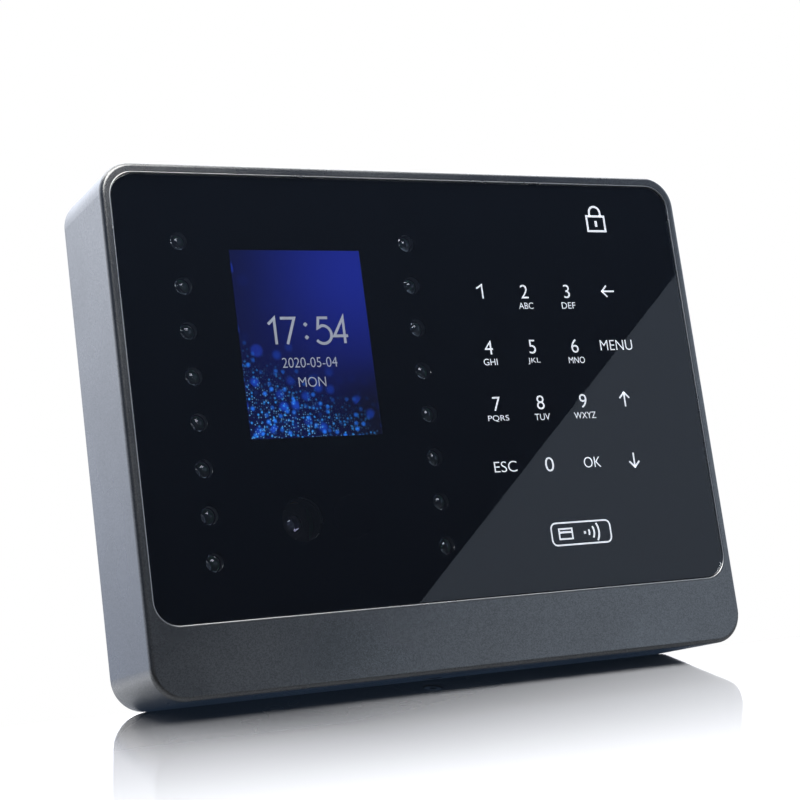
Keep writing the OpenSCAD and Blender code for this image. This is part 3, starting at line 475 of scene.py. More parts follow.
# %% Clear finishes
def clear(name, colour, rough, index):
    """A see-through material with faint smears in its gloss."""
    made = bpy.data.materials.new(name)
    made.use_nodes = True
    tree = made.node_tree
    shader = tree.nodes["Principled BSDF"]
    shader.inputs["Base Color"].default_value = (*colour, 1)
    shader.inputs["Transmission Weight"].default_value = 1.0
    shader.inputs["IOR"].default_value = index
    cloud = tree.nodes.new("ShaderNodeGroup")
    cloud.node_tree = CLOUD
    cloud.inputs["Scale"].default_value = 45.0
    cloud.inputs["Low"].default_value = rough
    cloud.inputs["High"].default_value = rough + 0.02
    tree.links.new(cloud.outputs["Value"], shader.inputs["Roughness"])
    return made


FINISHES["front_glass"] = clear("front_glass", (0.84, 0.87, 0.92), 0.0, 1.5)
FINISHES["lens"] = clear("lens", (0.75, 0.7, 0.95), 0.0, 1.6)
FINISHES["lamp_resin"] = clear("lamp_resin", (0.93, 0.95, 0.96), 0.01, 1.54)
print("clear finishes added")

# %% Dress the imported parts
for part in frame["record"]["subparts"]:
    shown = nodes[part["node"]]
    shown.data.materials.clear()
    shown.data.materials.append(FINISHES[part["material_slot"]])
print(len(nodes), "packed parts dressed")

# %% [markdown]
# ## Front glass and its bright ring
# Both follow one outline, a rectangle with round corners. A loft joins a stack of such outlines,
# each a little further in or further back, which is how a ground edge or a half-round bead is made
# without any modifier that could swell the size. Big flat faces keep flat shading next to the small
# round ones because the normals are weighted by area.

# %% Outlines and lofts
CORNER_STEPS = 20
GLASS_RADIUS = 7.4


def outline(low, high, radius, inset, y):
    """Points round a rectangle with round corners, drawn inset from a box, in the plane at y."""
    x0, x1 = low.x + inset, high.x - inset
    z0, z1 = low.z + inset, high.z - inset
    r = max(radius - inset, 0.05 * MM)
    points = []
    for turn, (cx, cz) in enumerate(((x1 - r, z1 - r), (x0 + r, z1 - r), (x0 + r, z0 + r), (x1 - r, z0 + r))):
        for step in range(CORNER_STEPS + 1):
            a = math.radians(90 * (turn + step / CORNER_STEPS))
            points.append((cx + r * math.cos(a), y, cz + r * math.sin(a)))
    return points


def loft(name, rings, closed=False):
    """A mesh through a list of rings. A closed one returns to its first ring, an open one is capped."""
    shape = bmesh.new()
    made = [[shape.verts.new(p) for p in ring] for ring in rings]
    pairs = list(zip(made, made[1:] + made[:1]))
    for a, b in pairs if closed else pairs[:-1]:
        for i in range(len(a)):
            j = (i + 1) % len(a)
            shape.faces.new((a[i], a[j], b[j], b[i]))
    if not closed:
        shape.faces.new(made[0])
        shape.faces.new(made[-1])
    bmesh.ops.recalc_face_normals(shape, faces=shape.faces)
    mesh = bpy.data.meshes.new(name)
    shape.to_mesh(mesh)
    shape.free()
    return mesh


def even_normals(piece, sharp=40):
    """Smooth shading that leaves flat faces flat and real edges sharp."""
    piece.data.shade_smooth()
    piece.data.set_sharp_from_angle(angle=math.radians(sharp))
    weigh = piece.modifiers.new("even_normals", "WEIGHTED_NORMAL")
    weigh.mode = "FACE_AREA"
    weigh.keep_sharp = True


def bow(radius, steps, start, end):
    """(in, back) steps along an arc, where 0 degrees points outwards and 90 to the front."""
    angles = [math.radians(start + (end - start) * i / steps) for i in range(steps + 1)]
    return [(radius * (1 - math.cos(a)), radius * (1 - math.sin(a))) for a in angles]


print("an outline has", 4 * (CORNER_STEPS + 1), "points")

# %% Glass
GLASS_EDGE = 0.35
GLASS_INTO_PRINT = 0.02


def make_glass():
    """A pane with a ground front edge. Its back sinks into the print, so no air lies between them."""
    back = glass_high.y + GLASS_INTO_PRINT * MM
    rings = [outline(glass_low, glass_high, GLASS_RADIUS * MM, inset * MM, glass_low.y + deep * MM)
             for inset, deep in reversed(bow(GLASS_EDGE, 6, 0, 90))]
    rings.append(outline(glass_low, glass_high, GLASS_RADIUS * MM, 0, back))
    pane = show("front_glass", loft("front_glass", rings))
    even_normals(pane)
    pane.data.materials.append(FINISHES["front_glass"])
    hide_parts("glass_panel")
    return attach(pane, "terminal")


front_glass = make_glass()
print("glass", len(front_glass.data.vertices), "points")

# %% Ring
RING_PLAY = 0.04


def make_ring():
    """A half-round bead round the glass, with straight sides below."""
    low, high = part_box("trim_ring")
    wide = (glass_low.x - low.x) / MM - RING_PLAY
    bead = wide / 2
    radius = GLASS_RADIUS * MM + (glass_low.x - low.x)
    deep = (high.y - low.y) / MM
    section = [(0, deep)] + bow(bead, 10, 0, 180) + [(wide, deep)]
    rings = [outline(low, high, radius, inset * MM, low.y + back * MM) for inset, back in section]
    bead_piece = show("bright_ring", loft("bright_ring", rings, closed=True))
    even_normals(bead_piece)
    bead_piece.data.materials.append(FINISHES["bright_trim"])
    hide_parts("trim_ring")
    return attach(bead_piece, "terminal")


bright_ring = make_ring()
print("ring", len(bright_ring.data.polygons), "faces")

# %% [markdown]
# ## Printed key legends
# The keys are touch fields behind the glass, marked by white print on its back and lit from behind.
# Letters come from Blender's own font, made a mesh before they are placed. Arrows and marks are drawn
# as strokes: a line of points given a width. All of it sits just inside the glass, in front of the
# black film.

# %% Drawing tools
PRINT_INSIDE = 0.02
PRINT_DEPTH = glass_high.y - PRINT_INSIDE * MM
PRINT_THICK = 0.01
SHARPEST_MITRE = 0.3
MERGE_WITHIN = 0.0001


def merge_corners(mesh):
    """Joins corners that lie in one place, so that neighbouring faces share them."""
    shape = bmesh.new()
    shape.from_mesh(mesh)
    bmesh.ops.remove_doubles(shape, verts=shape.verts, dist=MERGE_WITHIN * MM)
    shape.to_mesh(mesh)
    shape.free()
    return mesh


def letters(text, x, z, height, width=None, y=PRINT_DEPTH, thin=0.0):
    """A word as a mesh, scaled to a height, and to a width if one is given, and centred at x, z in mm."""
    curve = bpy.data.curves.new(text, "FONT")
    curve.body = text
    curve.offset = thin
    curve.extrude = PRINT_THICK
    holder = bpy.data.objects.new(text, curve)
    collection.objects.link(holder)
    bpy.context.view_layer.update()
    mesh = bpy.data.meshes.new_from_object(holder.evaluated_get(bpy.context.evaluated_depsgraph_get()))
    bpy.data.objects.remove(holder)
    bpy.data.curves.remove(curve)
    xs = [v.co.x for v in mesh.vertices]
    ys = [v.co.y for v in mesh.vertices]
    up = height / (max(ys) - min(ys))
    across = width / (max(xs) - min(xs)) if width else up
    centre = Vector(((max(xs) + min(xs)) / 2, (max(ys) + min(ys)) / 2, 0))
    mesh.transform(Matrix.Translation(-centre))
    mesh.transform(Matrix.Diagonal((across * MM, up * MM, MM, 1)))
    mesh.transform(Matrix.Rotation(math.radians(90), 4, "X"))
    mesh.transform(Matrix.Translation((x * MM, y, z * MM)))
    return merge_corners(mesh)


def stroke(points, width, closed=False, y=PRINT_DEPTH):
    """A flat line of this width through points given as (x, z) in mm, as a thin closed solid."""
    flat = [Vector(p) for p in points]
    count = len(flat)
    section = ((1, -PRINT_THICK), (-1, -PRINT_THICK), (-1, PRINT_THICK), (1, PRINT_THICK))
    rings = []
    for i, p in enumerate(flat):
        before = flat[i - 1] if closed or i > 0 else None
        after = flat[(i + 1) % count] if closed or i < count - 1 else None
        way_in = (p - before).normalized() if before else (after - p).normalized()
        way_out = (after - p).normalized() if after else way_in
        way = (way_in + way_out).normalized()
        side = Vector((-way.y, way.x)) * (width / 2 / max(way.dot(way_in), SHARPEST_MITRE))
        rings.append([((p + s * side).x * MM, y + d * MM, (p + s * side).y * MM) for s, d in section])
    return loft("stroke", rings, closed)


def arc(x, z, radius, start, end, steps=16):
    """Points along a circle's arc, in degrees from the right."""
    angles = [math.radians(start + (end - start) * i / steps) for i in range(steps + 1)]
    return [(x + radius * math.cos(a), z + radius * math.sin(a)) for a in angles]


def arrow(x, z, turn, length=4.7, head=1.9, width=0.55):
    """An arrow that points left, turned anticlockwise by this many degrees."""
    spin = Matrix.Rotation(math.radians(turn), 2)
    shaft = [(-length / 2, 0), (length / 2, 0)]
    tip = [(-length / 2 + head, head), (-length / 2, 0), (-length / 2 + head, -head)]
    return [stroke([tuple(spin @ Vector(p) + Vector((x, z))) for p in line], width) for line in (shaft, tip)]


def join_meshes(name, meshes):
    """One mesh that holds them all."""
    shape = bmesh.new()
    for mesh in meshes:
        shape.from_mesh(mesh)
        bpy.data.meshes.remove(mesh)
    made = bpy.data.meshes.new(name)
    shape.to_mesh(made)
    shape.free()
    return made


print("drawing tools ready, the print lies", round((PRINT_DEPTH - face_y) / MM, 2), "mm behind the face")

# %% Lit print finish
def lit_print(name, colour, glow):
    """Ink that shines a little by itself, brighter in some places than others."""
    made = finish(name, colour, 0.5, contrast=0.05, bump=0.02)
    tree = made.node_tree
    shader = tree.nodes["Principled BSDF"]
    shader.inputs["Emission Strength"].default_value = glow
    cloud = tree.nodes.new("ShaderNodeGroup")
    cloud.node_tree = CLOUD
    cloud.inputs["Scale"].default_value = 60.0
    cloud.inputs["Low"].default_value = 0.85
    cloud.inputs["High"].default_value = 1.0
    shine = tree.nodes.new("ShaderNodeVectorMath")
    shine.operation = "SCALE"
    shine.inputs[0].default_value = colour
    tree.links.new(cloud.outputs["Value"], shine.inputs["Scale"])
    tree.links.new(shine.outputs[0], shader.inputs["Emission Color"])
    return made


WHITE_PRINT = lit_print("white_print", (0.88, 0.9, 0.93), 0.75)
print("finish", WHITE_PRINT.name)

# %% Key legends
touch_low, touch_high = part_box("touch_board")
KEYS_MARGIN_WIDE, KEYS_MARGIN_TALL = 25.7, 23.4
KEYS_SHIFT = 0.8
KEY_STEP = ((touch_high.x - touch_low.x) / MM - KEYS_MARGIN_WIDE) / 3
ROW_STEP = ((touch_high.z - touch_low.z) / MM - KEYS_MARGIN_TALL) / 3
KEY_MIDDLE = middle("touch_board") / MM + Vector((KEYS_SHIFT, 0, 0))
LAST_ROW_RISE = 0.2
DIGIT_RISE, LETTER_DROP = 2.0, 2.7
DIGIT_HEIGHT, LETTER_HEIGHT, WORD_HEIGHT = 4.5, 2.1, 3.4


def digit_one(x, z, height, width):
    """The points of a one with a flag, because the font's own is a bare bar."""
    right = x + width / 2
    return [(x - width / 2, z + height * 0.24), (right, z + height / 2), (right, z - height / 2)]


def key_place(column, row):
    """The centre of a key, x and z in mm, counted from the upper left."""
    return KEY_MIDDLE.x + (column - 1.5) * KEY_STEP, KEY_MIDDLE.z + (1.5 - row) * ROW_STEP


def rise(row):
    """How far a row's main mark sits above the middle of its key."""
    return DIGIT_RISE if row < 3 else LAST_ROW_RISE


def key_legends():
    """Digits with their letters, words and arrows, four keys in each of four rows."""
    parts = []
    groups = [("", 0), ("ABC", 5.4), ("DEF", 5.2), ("GHI", 5.0), ("JKL", 4.6), ("MNO", 6.1), ("PQRS", 7.6),
              ("TUV", 5.6), ("WXYZ", 8.2)]
    for number in range(9):
        x, z = key_place(number % 3, number // 3)
        if number == 0:
            parts.append(stroke(digit_one(x - 0.4, z + DIGIT_RISE, DIGIT_HEIGHT, 2.0), 0.5))
            continue
        word, wide = groups[number]
        parts.append(letters(str(number + 1), x, z + DIGIT_RISE, DIGIT_HEIGHT, thin=-0.006))
        parts.append(letters(word, x, z - LETTER_DROP, LETTER_HEIGHT, wide, thin=-0.004))
    words = (("MENU", 3, 1, 12.5), ("ESC", 0, 3, 8.2), ("0", 1, 3, 3.2), ("OK", 2, 3, 6.4))
    for word, column, row, width in words:
        x, z = key_place(column, row)
        height = DIGIT_HEIGHT if word == "0" else WORD_HEIGHT
        parts.append(letters(word, x, z + rise(row), height, width, thin=-0.008))
    for row, turn in ((0, 0), (2, -90), (3, 90)):
        x, z = key_place(3, row)
        parts += arrow(x, z + rise(row), turn)
    return join_meshes("key_legends", parts)


legends = show("key_legends", key_legends())
legends.data.materials.append(WHITE_PRINT)
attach(legends, "terminal")
print("legends", len(legends.data.polygons), "faces")

# %% [markdown]
# Two plain marks stand where a maker would print its own: a padlock in the corner, and the sign for
# holding a card or phone near, in a rounded frame. Both are everyday symbols drawn from arcs.

# %% Plain marks
LOCK_X, LOCK_Z = 69.3, 142.3
TAP_X, TAP_Z = 45.7, 38.8


def padlock(x, z):
    """A body with a keyhole and a shackle."""
    body = [(x - 3.4, z - 4.2), (x + 3.4, z - 4.2), (x + 3.4, z + 0.9), (x - 3.4, z + 0.9)]
    r = 2.1
    shackle = [(x - r, z + 0.9)] + arc(x, z + r, r, 180, 0) + [(x + r, z + 0.9)]
    return [stroke(body, 0.7, closed=True), stroke(shackle, 0.7),
            stroke([(x, z - 2.7), (x, z - 0.7)], 0.9)]


def tap_sign(x, z):
    """Three waves and a card's outline in a frame."""
    half, tall, r = 11.0, 3.5, 1.8
    frame_line = []
    for sx, sz, start in ((1, 1, 0), (-1, 1, 90), (-1, -1, 180), (1, -1, 270)):
        frame_line += arc(x + sx * (half - r), z + sz * (tall - r), r, start, start + 90, 6)
    card = [(x - 8.2, z - 1.6), (x - 3.4, z - 1.6), (x - 3.4, z + 1.6), (x - 8.2, z + 1.6)]
    parts = [stroke(frame_line, 0.5, closed=True), stroke(card, 0.5, closed=True),
             stroke([(x - 8.0, z + 0.5), (x - 3.6, z + 0.5)], 0.6)]
    for radius in (1.6, 3.4, 5.2):
        parts.append(stroke(arc(x + 1.4, z, radius, -32, 32, 8), 0.6))
    parts.append(stroke([(x + 0.9, z), (x + 1.7, z)], 0.8))
    return parts


mark_strokes = padlock(LOCK_X, LOCK_Z) + tap_sign(TAP_X, TAP_Z)
marks = show("plain_marks", join_meshes("plain_marks", mark_strokes))
marks.data.materials.append(WHITE_PRINT)
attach(marks, "terminal")
print("marks", len(marks.data.polygons), "faces")

# %% [markdown]
# ## Display
# The display shows a clock over an abstract picture of out-of-focus sparks on deep blue. The picture
# is a shader on a thin sheet with its own map from 0 to 1. Sparks come from a cell texture: near a
# cell's centre there is light, and a random value for each cell sets how much. Each size of spark is
# a layer of its own, and all but the largest are faded out towards the upper right.

# %% Picture sheet
PICTURE_WIDTH, PICTURE_HEIGHT = 43.2, 57.6
PICTURE_BORDER_TOP = 3.1
lcd_low, lcd_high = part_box("lcd_panel")
PICTURE_X = (lcd_low.x + lcd_high.x) / 2 / MM
PICTURE_Z = lcd_high.z / MM - PICTURE_BORDER_TOP - PICTURE_HEIGHT / 2
PICTURE_Y = lcd_low.y
SHEET_PROUD, SHEET_SUNK = 0.03, 0.01


def picture_sheet():
    """A sheet of the lit area's size on the panel's face, with a map named picture."""
    low = Vector(((PICTURE_X - PICTURE_WIDTH / 2) * MM, 0, (PICTURE_Z - PICTURE_HEIGHT / 2) * MM))
    high = Vector(((PICTURE_X + PICTURE_WIDTH / 2) * MM, 0, (PICTURE_Z + PICTURE_HEIGHT / 2) * MM))
    rings = [[(low.x, y, low.z), (high.x, y, low.z), (high.x, y, high.z), (low.x, y, high.z)]
             for y in (PICTURE_Y - SHEET_PROUD * MM, PICTURE_Y + SHEET_SUNK * MM)]
    mesh = loft("display_picture", rings)
    layer = mesh.uv_layers.new(name="picture")
    for corner in mesh.loops:
        place = mesh.vertices[corner.vertex_index].co
        across = (place.x - low.x) / (high.x - low.x)
        layer.data[corner.index].uv = (across, (place.z - low.z) / (high.z - low.z))
    return show("display_picture", mesh)


picture = picture_sheet()
print("picture centre", round(PICTURE_X, 1), round(PICTURE_Z, 1))

# %% Picture shader
class Board:
    """Short calls for building a shader out of arithmetic."""

    def __init__(self, tree):
        self.tree = tree

    def feed(self, socket, value):
        """A number or an output goes into a socket."""
        if isinstance(value, bpy.types.NodeSocket):
            self.tree.links.new(value, socket)
        else:
            socket.default_value = value

    def maths(self, operation, a, b=0.0):
        """One Math node."""
        step = self.tree.nodes.new("ShaderNodeMath")
        step.operation = operation
        self.feed(step.inputs[0], a)
        self.feed(step.inputs[1], b)
        return step.outputs[0]

    def fade(self, value, zero_at, one_at):
        """0 at one value, 1 at another, and smooth between."""
        step = self.tree.nodes.new("ShaderNodeMapRange")
        step.interpolation_type = "SMOOTHSTEP"
        self.feed(step.inputs["Value"], value)
        if zero_at < one_at:
            step.inputs["From Min"].default_value, step.inputs["From Max"].default_value = zero_at, one_at
            return step.outputs["Result"]
        step.inputs["From Min"].default_value, step.inputs["From Max"].default_value = one_at, zero_at
        return self.maths("SUBTRACT", 1.0, step.outputs["Result"])

    def blend(self, factor, a, b):
        """Colour a at factor 0 and colour b at 1."""
        step = self.tree.nodes.new("ShaderNodeMix")
        step.data_type = "RGBA"
        self.feed(step.inputs["Factor"], factor)
        self.feed(step.inputs["A"], a)
        self.feed(step.inputs["B"], b)
        return step.outputs["Result"]


def picture_finish():
    """Deep blue with five sizes of spark, thick at the lower left."""
    made = bpy.data.materials.new("display_picture")
    made.use_nodes = True
    tree = made.node_tree
    add, join = tree.nodes.new, tree.links.new
    board = Board(tree)
    shader = tree.nodes["Principled BSDF"]
    shader.inputs["Base Color"].default_value = (0.001, 0.001, 0.003, 1)
    shader.inputs["Specular IOR Level"].default_value = 0.0
    shader.inputs["Emission Strength"].default_value = 1.05
    sheet = add("ShaderNodeUVMap")
    sheet.uv_map = "picture"
    split = add("ShaderNodeSeparateXYZ")
    join(sheet.outputs[0], split.inputs[0])
    right, up = split.outputs["X"], split.outputs["Y"]
    square = add("ShaderNodeCombineXYZ")
    join(board.maths("MULTIPLY", right, PICTURE_WIDTH / PICTURE_HEIGHT), square.inputs["X"])
    join(up, square.inputs["Y"])
    bright = board.maths("MULTIPLY", board.fade(right, -0.1, 0.95), board.fade(up, 0.1, 0.9))
    colour = board.blend(bright, (0.001, 0.002, 0.04, 1), (0.008, 0.017, 0.25, 1))
    dark = board.maths("MULTIPLY", board.fade(right, 0.5, 1.0), board.fade(up, 0.45, 0.1))
    colour = board.blend(dark, colour, (0.002, 0.002, 0.012, 1))
    slant = board.maths("ADD", up, board.maths("MULTIPLY", right, 0.42))
    # cells across, a spark's rim and core, where it shows, its strength and its colour
    layers = [
        (9.0, 0.38, 0.2, board.maths("MULTIPLY", board.fade(right, 0.45, 0.1), board.fade(up, 0.2, 0.4)), 0.6,
         (0.012, 0.04, 0.42, 1)),
        (14.0, 0.5, 0.1, board.fade(slant, 0.75, 0.35), 0.8, (0.01, 0.07, 0.6, 1)),
        (26.0, 0.45, 0.05, board.fade(slant, 0.62, 0.3), 1.0, (0.02, 0.2, 0.95, 1)),
        (48.0, 0.45, 0.05, board.fade(slant, 0.55, 0.2), 1.0, (0.04, 0.35, 1.0, 1)),
        (80.0, 0.42, 0.05, board.fade(slant, 0.5, 0.15), 0.9, (0.2, 0.55, 1.0, 1)),
    ]
    for scale, outer, inner, where, strength, tint in layers:
        cells = add("ShaderNodeTexVoronoi")
        cells.voronoi_dimensions = "2D"
        cells.inputs["Scale"].default_value = scale
        cells.inputs["Randomness"].default_value = 0.9
        join(square.outputs[0], cells.inputs["Vector"])
        chance = add("ShaderNodeSeparateColor")
        join(cells.outputs["Color"], chance.inputs[0])
        lit = board.maths("MULTIPLY", board.fade(cells.outputs["Distance"], outer, inner),
                          board.fade(chance.outputs[0], 0.5, 1.05))
        lit = board.maths("MULTIPLY", lit, where)
        colour = board.blend(board.maths("MULTIPLY", lit, strength), colour, tint)
    join(colour, shader.inputs["Emission Color"])
    return made


picture.data.materials.append(picture_finish())
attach(picture, "terminal")
print("picture finish ready")

# %% Clock
CLOCK_FINISH = lit_print("clock_digits", (0.28, 0.29, 0.31), 1.0)
CLOCK_PROUD = 0.045
CLOCK_Y = PICTURE_Y - CLOCK_PROUD * MM
CLOCK_OFFSET = 0.5
CLOCK_RISE, DATE_DROP, DAY_DROP = 3.7, 6.0, 12.0
COLON_SPREAD, COLON_HALF = 2.0, 0.75


def diamond(x, z, half):
    """A small square on its corner."""
    a = half / 2
    return stroke([(x - a, z - a), (x + a, z + a)], half * math.sqrt(2), y=CLOCK_Y)


def clock_digits(x, z, height, width, line):
    """One, seven, five and four as strokes of one width, with room for a colon in the middle."""
    h, w = height / 2, width / 2
    pitch = width + 1.0
    one, seven, five, four = (x + k * pitch + side for k, side in ((-2, 0.2), (-1, -0.2), (1, 0.1), (2, 0.3)))
    bowl = arc(five - 0.2, z - h * 0.3, h * 0.7, 118, -142, 20)
    lines = [
        [(one - w * 0.5, z + h * 0.55), (one + w * 0.4, z + h), (one + w * 0.4, z - h)],
        [(seven - w, z + h), (seven + w, z + h), (seven - w * 0.3, z - h)],
        [(five + w * 0.8, z + h), (five - w * 0.55, z + h), (five - w * 0.75, z + h * 0.22)] + bowl[2:],
        [(four + w * 0.5, z - h), (four + w * 0.5, z + h),
         (four - w, z - h * 0.42), (four + w, z - h * 0.42)],
    ]
    return [stroke(points, line, y=CLOCK_Y) for points in lines]


def clock():
    """The time in large thin digits, with the date and the day below."""
    x = PICTURE_X + CLOCK_OFFSET
    z = PICTURE_Z + CLOCK_RISE
    parts = clock_digits(x, z, 8.0, 4.6, 0.85)
    parts += [diamond(x, z + s * COLON_SPREAD, COLON_HALF) for s in (-1, 1)]
    parts.append(letters("2020-05-04", x, PICTURE_Z - DATE_DROP, 3.05, 18.1, CLOCK_Y, -0.008))
    parts.append(letters("MON", x, PICTURE_Z - DAY_DROP, 3.0, 9.0, CLOCK_Y, -0.008))
    return join_meshes("display_clock", parts)


clock_piece = show("display_clock", clock())
clock_piece.data.materials.append(CLOCK_FINISH)
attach(clock_piece, "terminal")
print("clock", len(clock_piece.data.polygons), "faces")

# %% [markdown]
# ## Things that repeat along a line
# A lamp insert, a spring contact or a clamp screw is made once and then repeated along a straight
# line. Geometry Nodes do this with a line of points, one instance on each, realised into a plain mesh.
# The same tree serves every row; only its inputs change.

# %% A tree that repeats a piece
def row_tree():
    """Geometry Nodes: Piece repeated Count times from Start by Step, in one Finish."""
    tree = bpy.data.node_groups.new("row_of_pieces", "GeometryNodeTree")
    for label, kind in (("Geometry", "NodeSocketGeometry"), ("Count", "NodeSocketInt"),
                        ("Start", "NodeSocketVector"), ("Step", "NodeSocketVector"),
                        ("Piece", "NodeSocketObject"), ("Finish", "NodeSocketMaterial")):
        tree.interface.new_socket(label, in_out="INPUT", socket_type=kind)
    tree.interface.new_socket("Geometry", in_out="OUTPUT", socket_type="NodeSocketGeometry")
    add, join = tree.nodes.new, tree.links.new
    enter, leave = add("NodeGroupInput"), add("NodeGroupOutput")
    line = add("GeometryNodeMeshLine")
    line.mode = "OFFSET"
    piece = add("GeometryNodeObjectInfo")
    place = add("GeometryNodeInstanceOnPoints")
    real = add("GeometryNodeRealizeInstances")
    dress = add("GeometryNodeSetMaterial")
    join(enter.outputs["Count"], line.inputs["Count"])
    join(enter.outputs["Start"], line.inputs["Start Location"])
    join(enter.outputs["Step"], line.inputs["Offset"])
    join(enter.outputs["Piece"], piece.inputs["Object"])
    join(line.outputs["Mesh"], place.inputs["Points"])
    join(piece.outputs["Geometry"], place.inputs["Instance"])
    join(place.outputs["Instances"], real.inputs["Geometry"])
    join(real.outputs["Geometry"], dress.inputs["Geometry"])
    join(enter.outputs["Finish"], dress.inputs["Material"])
    join(dress.outputs["Geometry"], leave.inputs["Geometry"])
    return tree


ROW = row_tree()


def grow(tree, **inputs):
    """Runs a Geometry Nodes tree with these inputs and returns its result as a plain mesh."""
    holder = show("holder", bpy.data.meshes.new("holder"))
    growth = holder.modifiers.new("growth", "NODES")
    growth.node_group = tree
    for item in tree.interface.items_tree:
        if item.in_out == "INPUT" and item.name in inputs:
            growth[item.identifier] = inputs[item.name]
    bpy.context.view_layer.update()
    mesh = bpy.data.meshes.new_from_object(holder.evaluated_get(bpy.context.evaluated_depsgraph_get()))
    bpy.data.objects.remove(holder)
    return mesh


def row(name, sample, count, start, step, dressing, body="terminal"):
    """A finished row of copies of a sample mesh, from start by step, both in metres."""
    pattern = show("pattern", sample)
    mesh = grow(ROW, Count=count, Start=tuple(start), Step=tuple(step), Piece=pattern, Finish=dressing)
    bpy.data.objects.remove(pattern)
    mesh.name = name
    piece = show(name, mesh)
    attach(piece, body)
    print(name, len(mesh.polygons), "faces")
    return piece


print("tree", ROW.name)

# %% [markdown]
# Each infrared lamp is a clear resin body round a small metal cup that holds the chip, on two legs.
# Through the dome the cup looks larger than it is. The cup is turned on a lathe: a profile of radius
# and depth, spun into rings.

# %% Lathe
def turned(profile, steps=24):
    """A shape turned about the y axis from (radius, y) points in mm. It closes on itself at both ends."""
    shape = bmesh.new()
    rings = []
    for radius, y in profile:
        if radius == 0:
            rings.append([shape.verts.new((0, y * MM, 0))] * steps)
            continue
        turns = [2 * math.pi * i / steps for i in range(steps)]
        rings.append([shape.verts.new((radius * MM * math.cos(a), y * MM, radius * MM * math.sin(a)))
                      for a in turns])
    for a, b in zip(rings, rings[1:]):
        for i in range(steps):
            j = (i + 1) % steps
            corners = list(dict.fromkeys((a[i], a[j], b[j], b[i])))
            if len(corners) > 2:
                shape.faces.new(corners)
    bmesh.ops.recalc_face_normals(shape, faces=shape.faces)
    for face in shape.faces:
        face.smooth = True
    mesh = bpy.data.meshes.new("turned")
    shape.to_mesh(mesh)
    shape.free()
    return mesh


print("lathe ready")

# %% Lamp inserts
LAMP_FLANGE = 2.95
CUP_BEHIND_TIP = 4.6
LAMP_COUNT = 8
CUP = [(0, 0.75), (0.4, 0.7), (0.6, 0.22), (0.66, 0.06), (0.76, 0.0), (0.86, 0.06), (0.92, 0.22), (0.9, 0.9),
       (0.4, 1.5), (0.3, 4.6), (0, 4.6)]
CHIP = [(0, 0.4), (0.2, 0.4), (0.2, 0.72), (0, 0.72)]
CUP_METAL = finish("cup_metal", (0.9, 0.92, 0.9), 0.12, metal=1.0, contrast=0.05, bump=0.0, gloss_change=0.02)

for side in ("left", "right"):
    low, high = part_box("leds_" + side)
    start = Vector((middle("leds_" + side).x, low.y + CUP_BEHIND_TIP * MM, low.z + LAMP_FLANGE * MM))
    step = Vector((0, 0, (high.z - low.z - 2 * LAMP_FLANGE * MM) / (LAMP_COUNT - 1)))
    cups = row("lamp_cups_" + side, turned(CUP), LAMP_COUNT, start, step, CUP_METAL)
    row("lamp_chips_" + side, turned(CHIP, 8), LAMP_COUNT, start, step, FINISHES["relay_plastic"])

# %% [markdown]
# The sockets in the cable bay have bright contacts inside: eight springs in the network jack, four
# blades in the USB port and a slotted screw over each wire clamp.

# %% Contacts and clamp screws
STRIP_THICK = 0.2
GOLD = finish("contact_gold", (0.85, 0.6, 0.22), 0.22, metal=1.0, contrast=0.05, bump=0.03)


def strip(points, width):
    """A thin bent strip: points (y, z) in mm, this wide along x."""
    section = ((-1, 0), (1, 0), (1, STRIP_THICK), (-1, STRIP_THICK))
    return loft("strip", [[(sx * width / 2 * MM, (y + dy) * MM, z * MM) for sx, dy in section]
                          for y, z in points])


def slotted_head(radius, tall, slot_width, slot_depth):
    """A round screw head with a straight slot, its top facing back along y."""
    floor_y = tall - slot_depth
    meshes = [turned([(0, 0), (radius, 0), (radius, floor_y), (0, floor_y)], 20)]
    edge = math.asin(slot_width / 2 / radius)
    angles = [edge + (math.pi - 2 * edge) * i / 10 for i in range(11)]
    for s in (-1, 1):
        meshes.append(loft("half_head", [[(radius * math.cos(a) * MM, y * MM, s * radius * math.sin(a) * MM)
                                          for a in angles] for y in (floor_y, tall)]))
    return join_meshes("slotted_head", meshes)


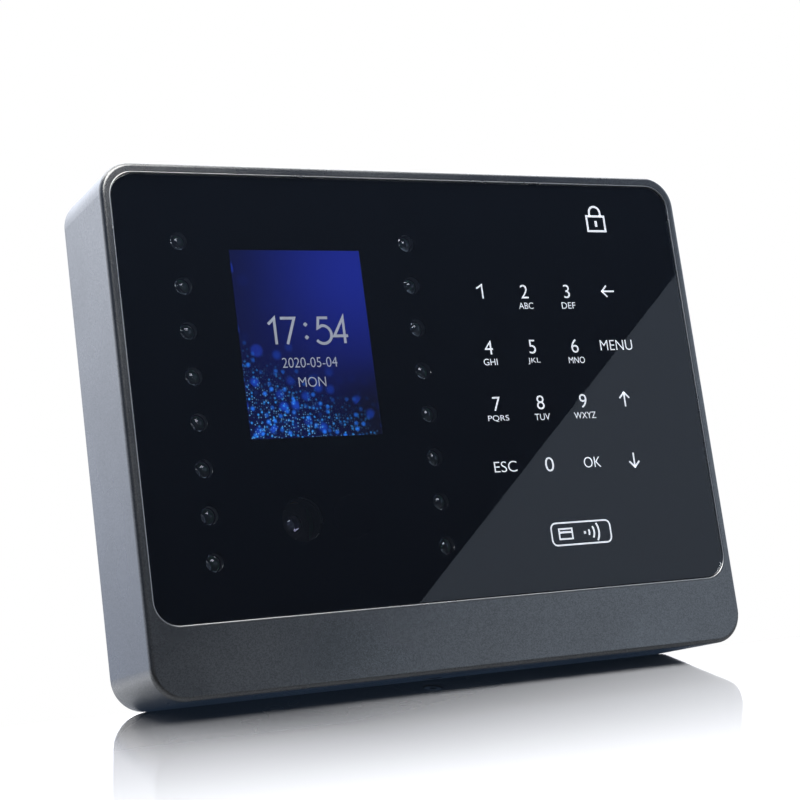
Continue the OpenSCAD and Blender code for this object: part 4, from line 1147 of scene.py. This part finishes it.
def place_contacts():
    """Rows of contacts in the jack and the port, and screws over the wire clamps."""
    jack_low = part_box("ethernet_jack")[0]
    x = middle("ethernet_jack").x
    spring = strip([(2.1, 2.0), (2.7, 4.5), (4.1, 8.5), (4.3, 10.5), (2.1, 12.2)], 0.45)
    contact_step = 1.02
    springs = row("network_contacts", spring, 8,
                  (x - 3.5 * contact_step * MM, jack_low.y, jack_low.z), (contact_step * MM, 0, 0), GOLD)
    port_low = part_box("usb_port")[0]
    blade_step = 2.5
    blades = row("usb_contacts", strip([(2.75, 1.8), (2.75, 9.5)], 1.1), 4,
                 (middle("usb_port").x - 1.5 * blade_step * MM, port_low.y, port_low.z),
                 (blade_step * MM, 0, 0), GOLD)
    block_low, block_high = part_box("terminal_block")
    ways = 4
    clamp_step = (block_high.x - block_low.x) / ways
    heads = row("clamp_screws", slotted_head(1.35, 1.1, 0.4, 0.5), ways,
                (block_low.x + clamp_step / 2, block_high.y - 2.3 * MM, block_low.z + 5 * MM),
                (clamp_step, 0, 0), FINISHES["screw_steel"])


place_contacts()

# %% [markdown]
# Only one camera looks through clear glass. The other sees near infrared light, through an ink that
# is black to the eye, so its window is covered by a disc of that ink in the plane of the film.

# %% Infrared ink
def make_ink():
    """A thin disc that fills the right-hand camera's window in the film."""
    film_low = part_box("graphic_film")[0]
    centre = middle("lens_glass_right")
    window_radius = 6.5
    mesh = turned([(0, 0), (window_radius, 0), (window_radius, 0.12), (0, 0.12)], 64)
    mesh.transform(Matrix.Translation((centre.x, film_low.y + 0.005 * MM, centre.z)))
    disc = show("infrared_ink", mesh)
    disc.data.shade_flat()
    disc.data.materials.append(FINISHES["black_print"])
    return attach(disc, "terminal")


ink = make_ink()
print("ink disc", len(ink.data.polygons), "faces")

# %% [markdown]
# The anti-tamper plunger pushes against a coil spring. A rigid coil would cut into the plunger when it goes
# in. The coil is copied as a piece of its own, and the share of its length that the plunger's travel would
# leave is worked out, while the copy itself keeps its full length. A imported mesh is loose triangles, so the
# copy has its corners merged first.

# %% Tamper coil
def make_coil():
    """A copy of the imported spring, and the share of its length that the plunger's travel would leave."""
    low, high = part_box("tamper_spring")
    joint = next(j for j in frame["record"]["behaviour"]["joints"] if j["name"] == "tamper_press")
    travel = max(abs(v) for v in joint["range_m"])
    coil = show("tamper_coil", merge_corners(nodes["tamper_spring"].data.copy()))
    coil.data.materials.clear()
    coil.data.materials.append(FINISHES["screw_steel"])
    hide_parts("tamper_spring")
    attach(coil, "terminal")
    keep = 1 - travel / (high.y - low.y)
    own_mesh(coil)
    return keep


print("the coil keeps", round(make_coil(), 2), "of its length")

# %% [markdown]

# %% Finish
print("the scene is built")
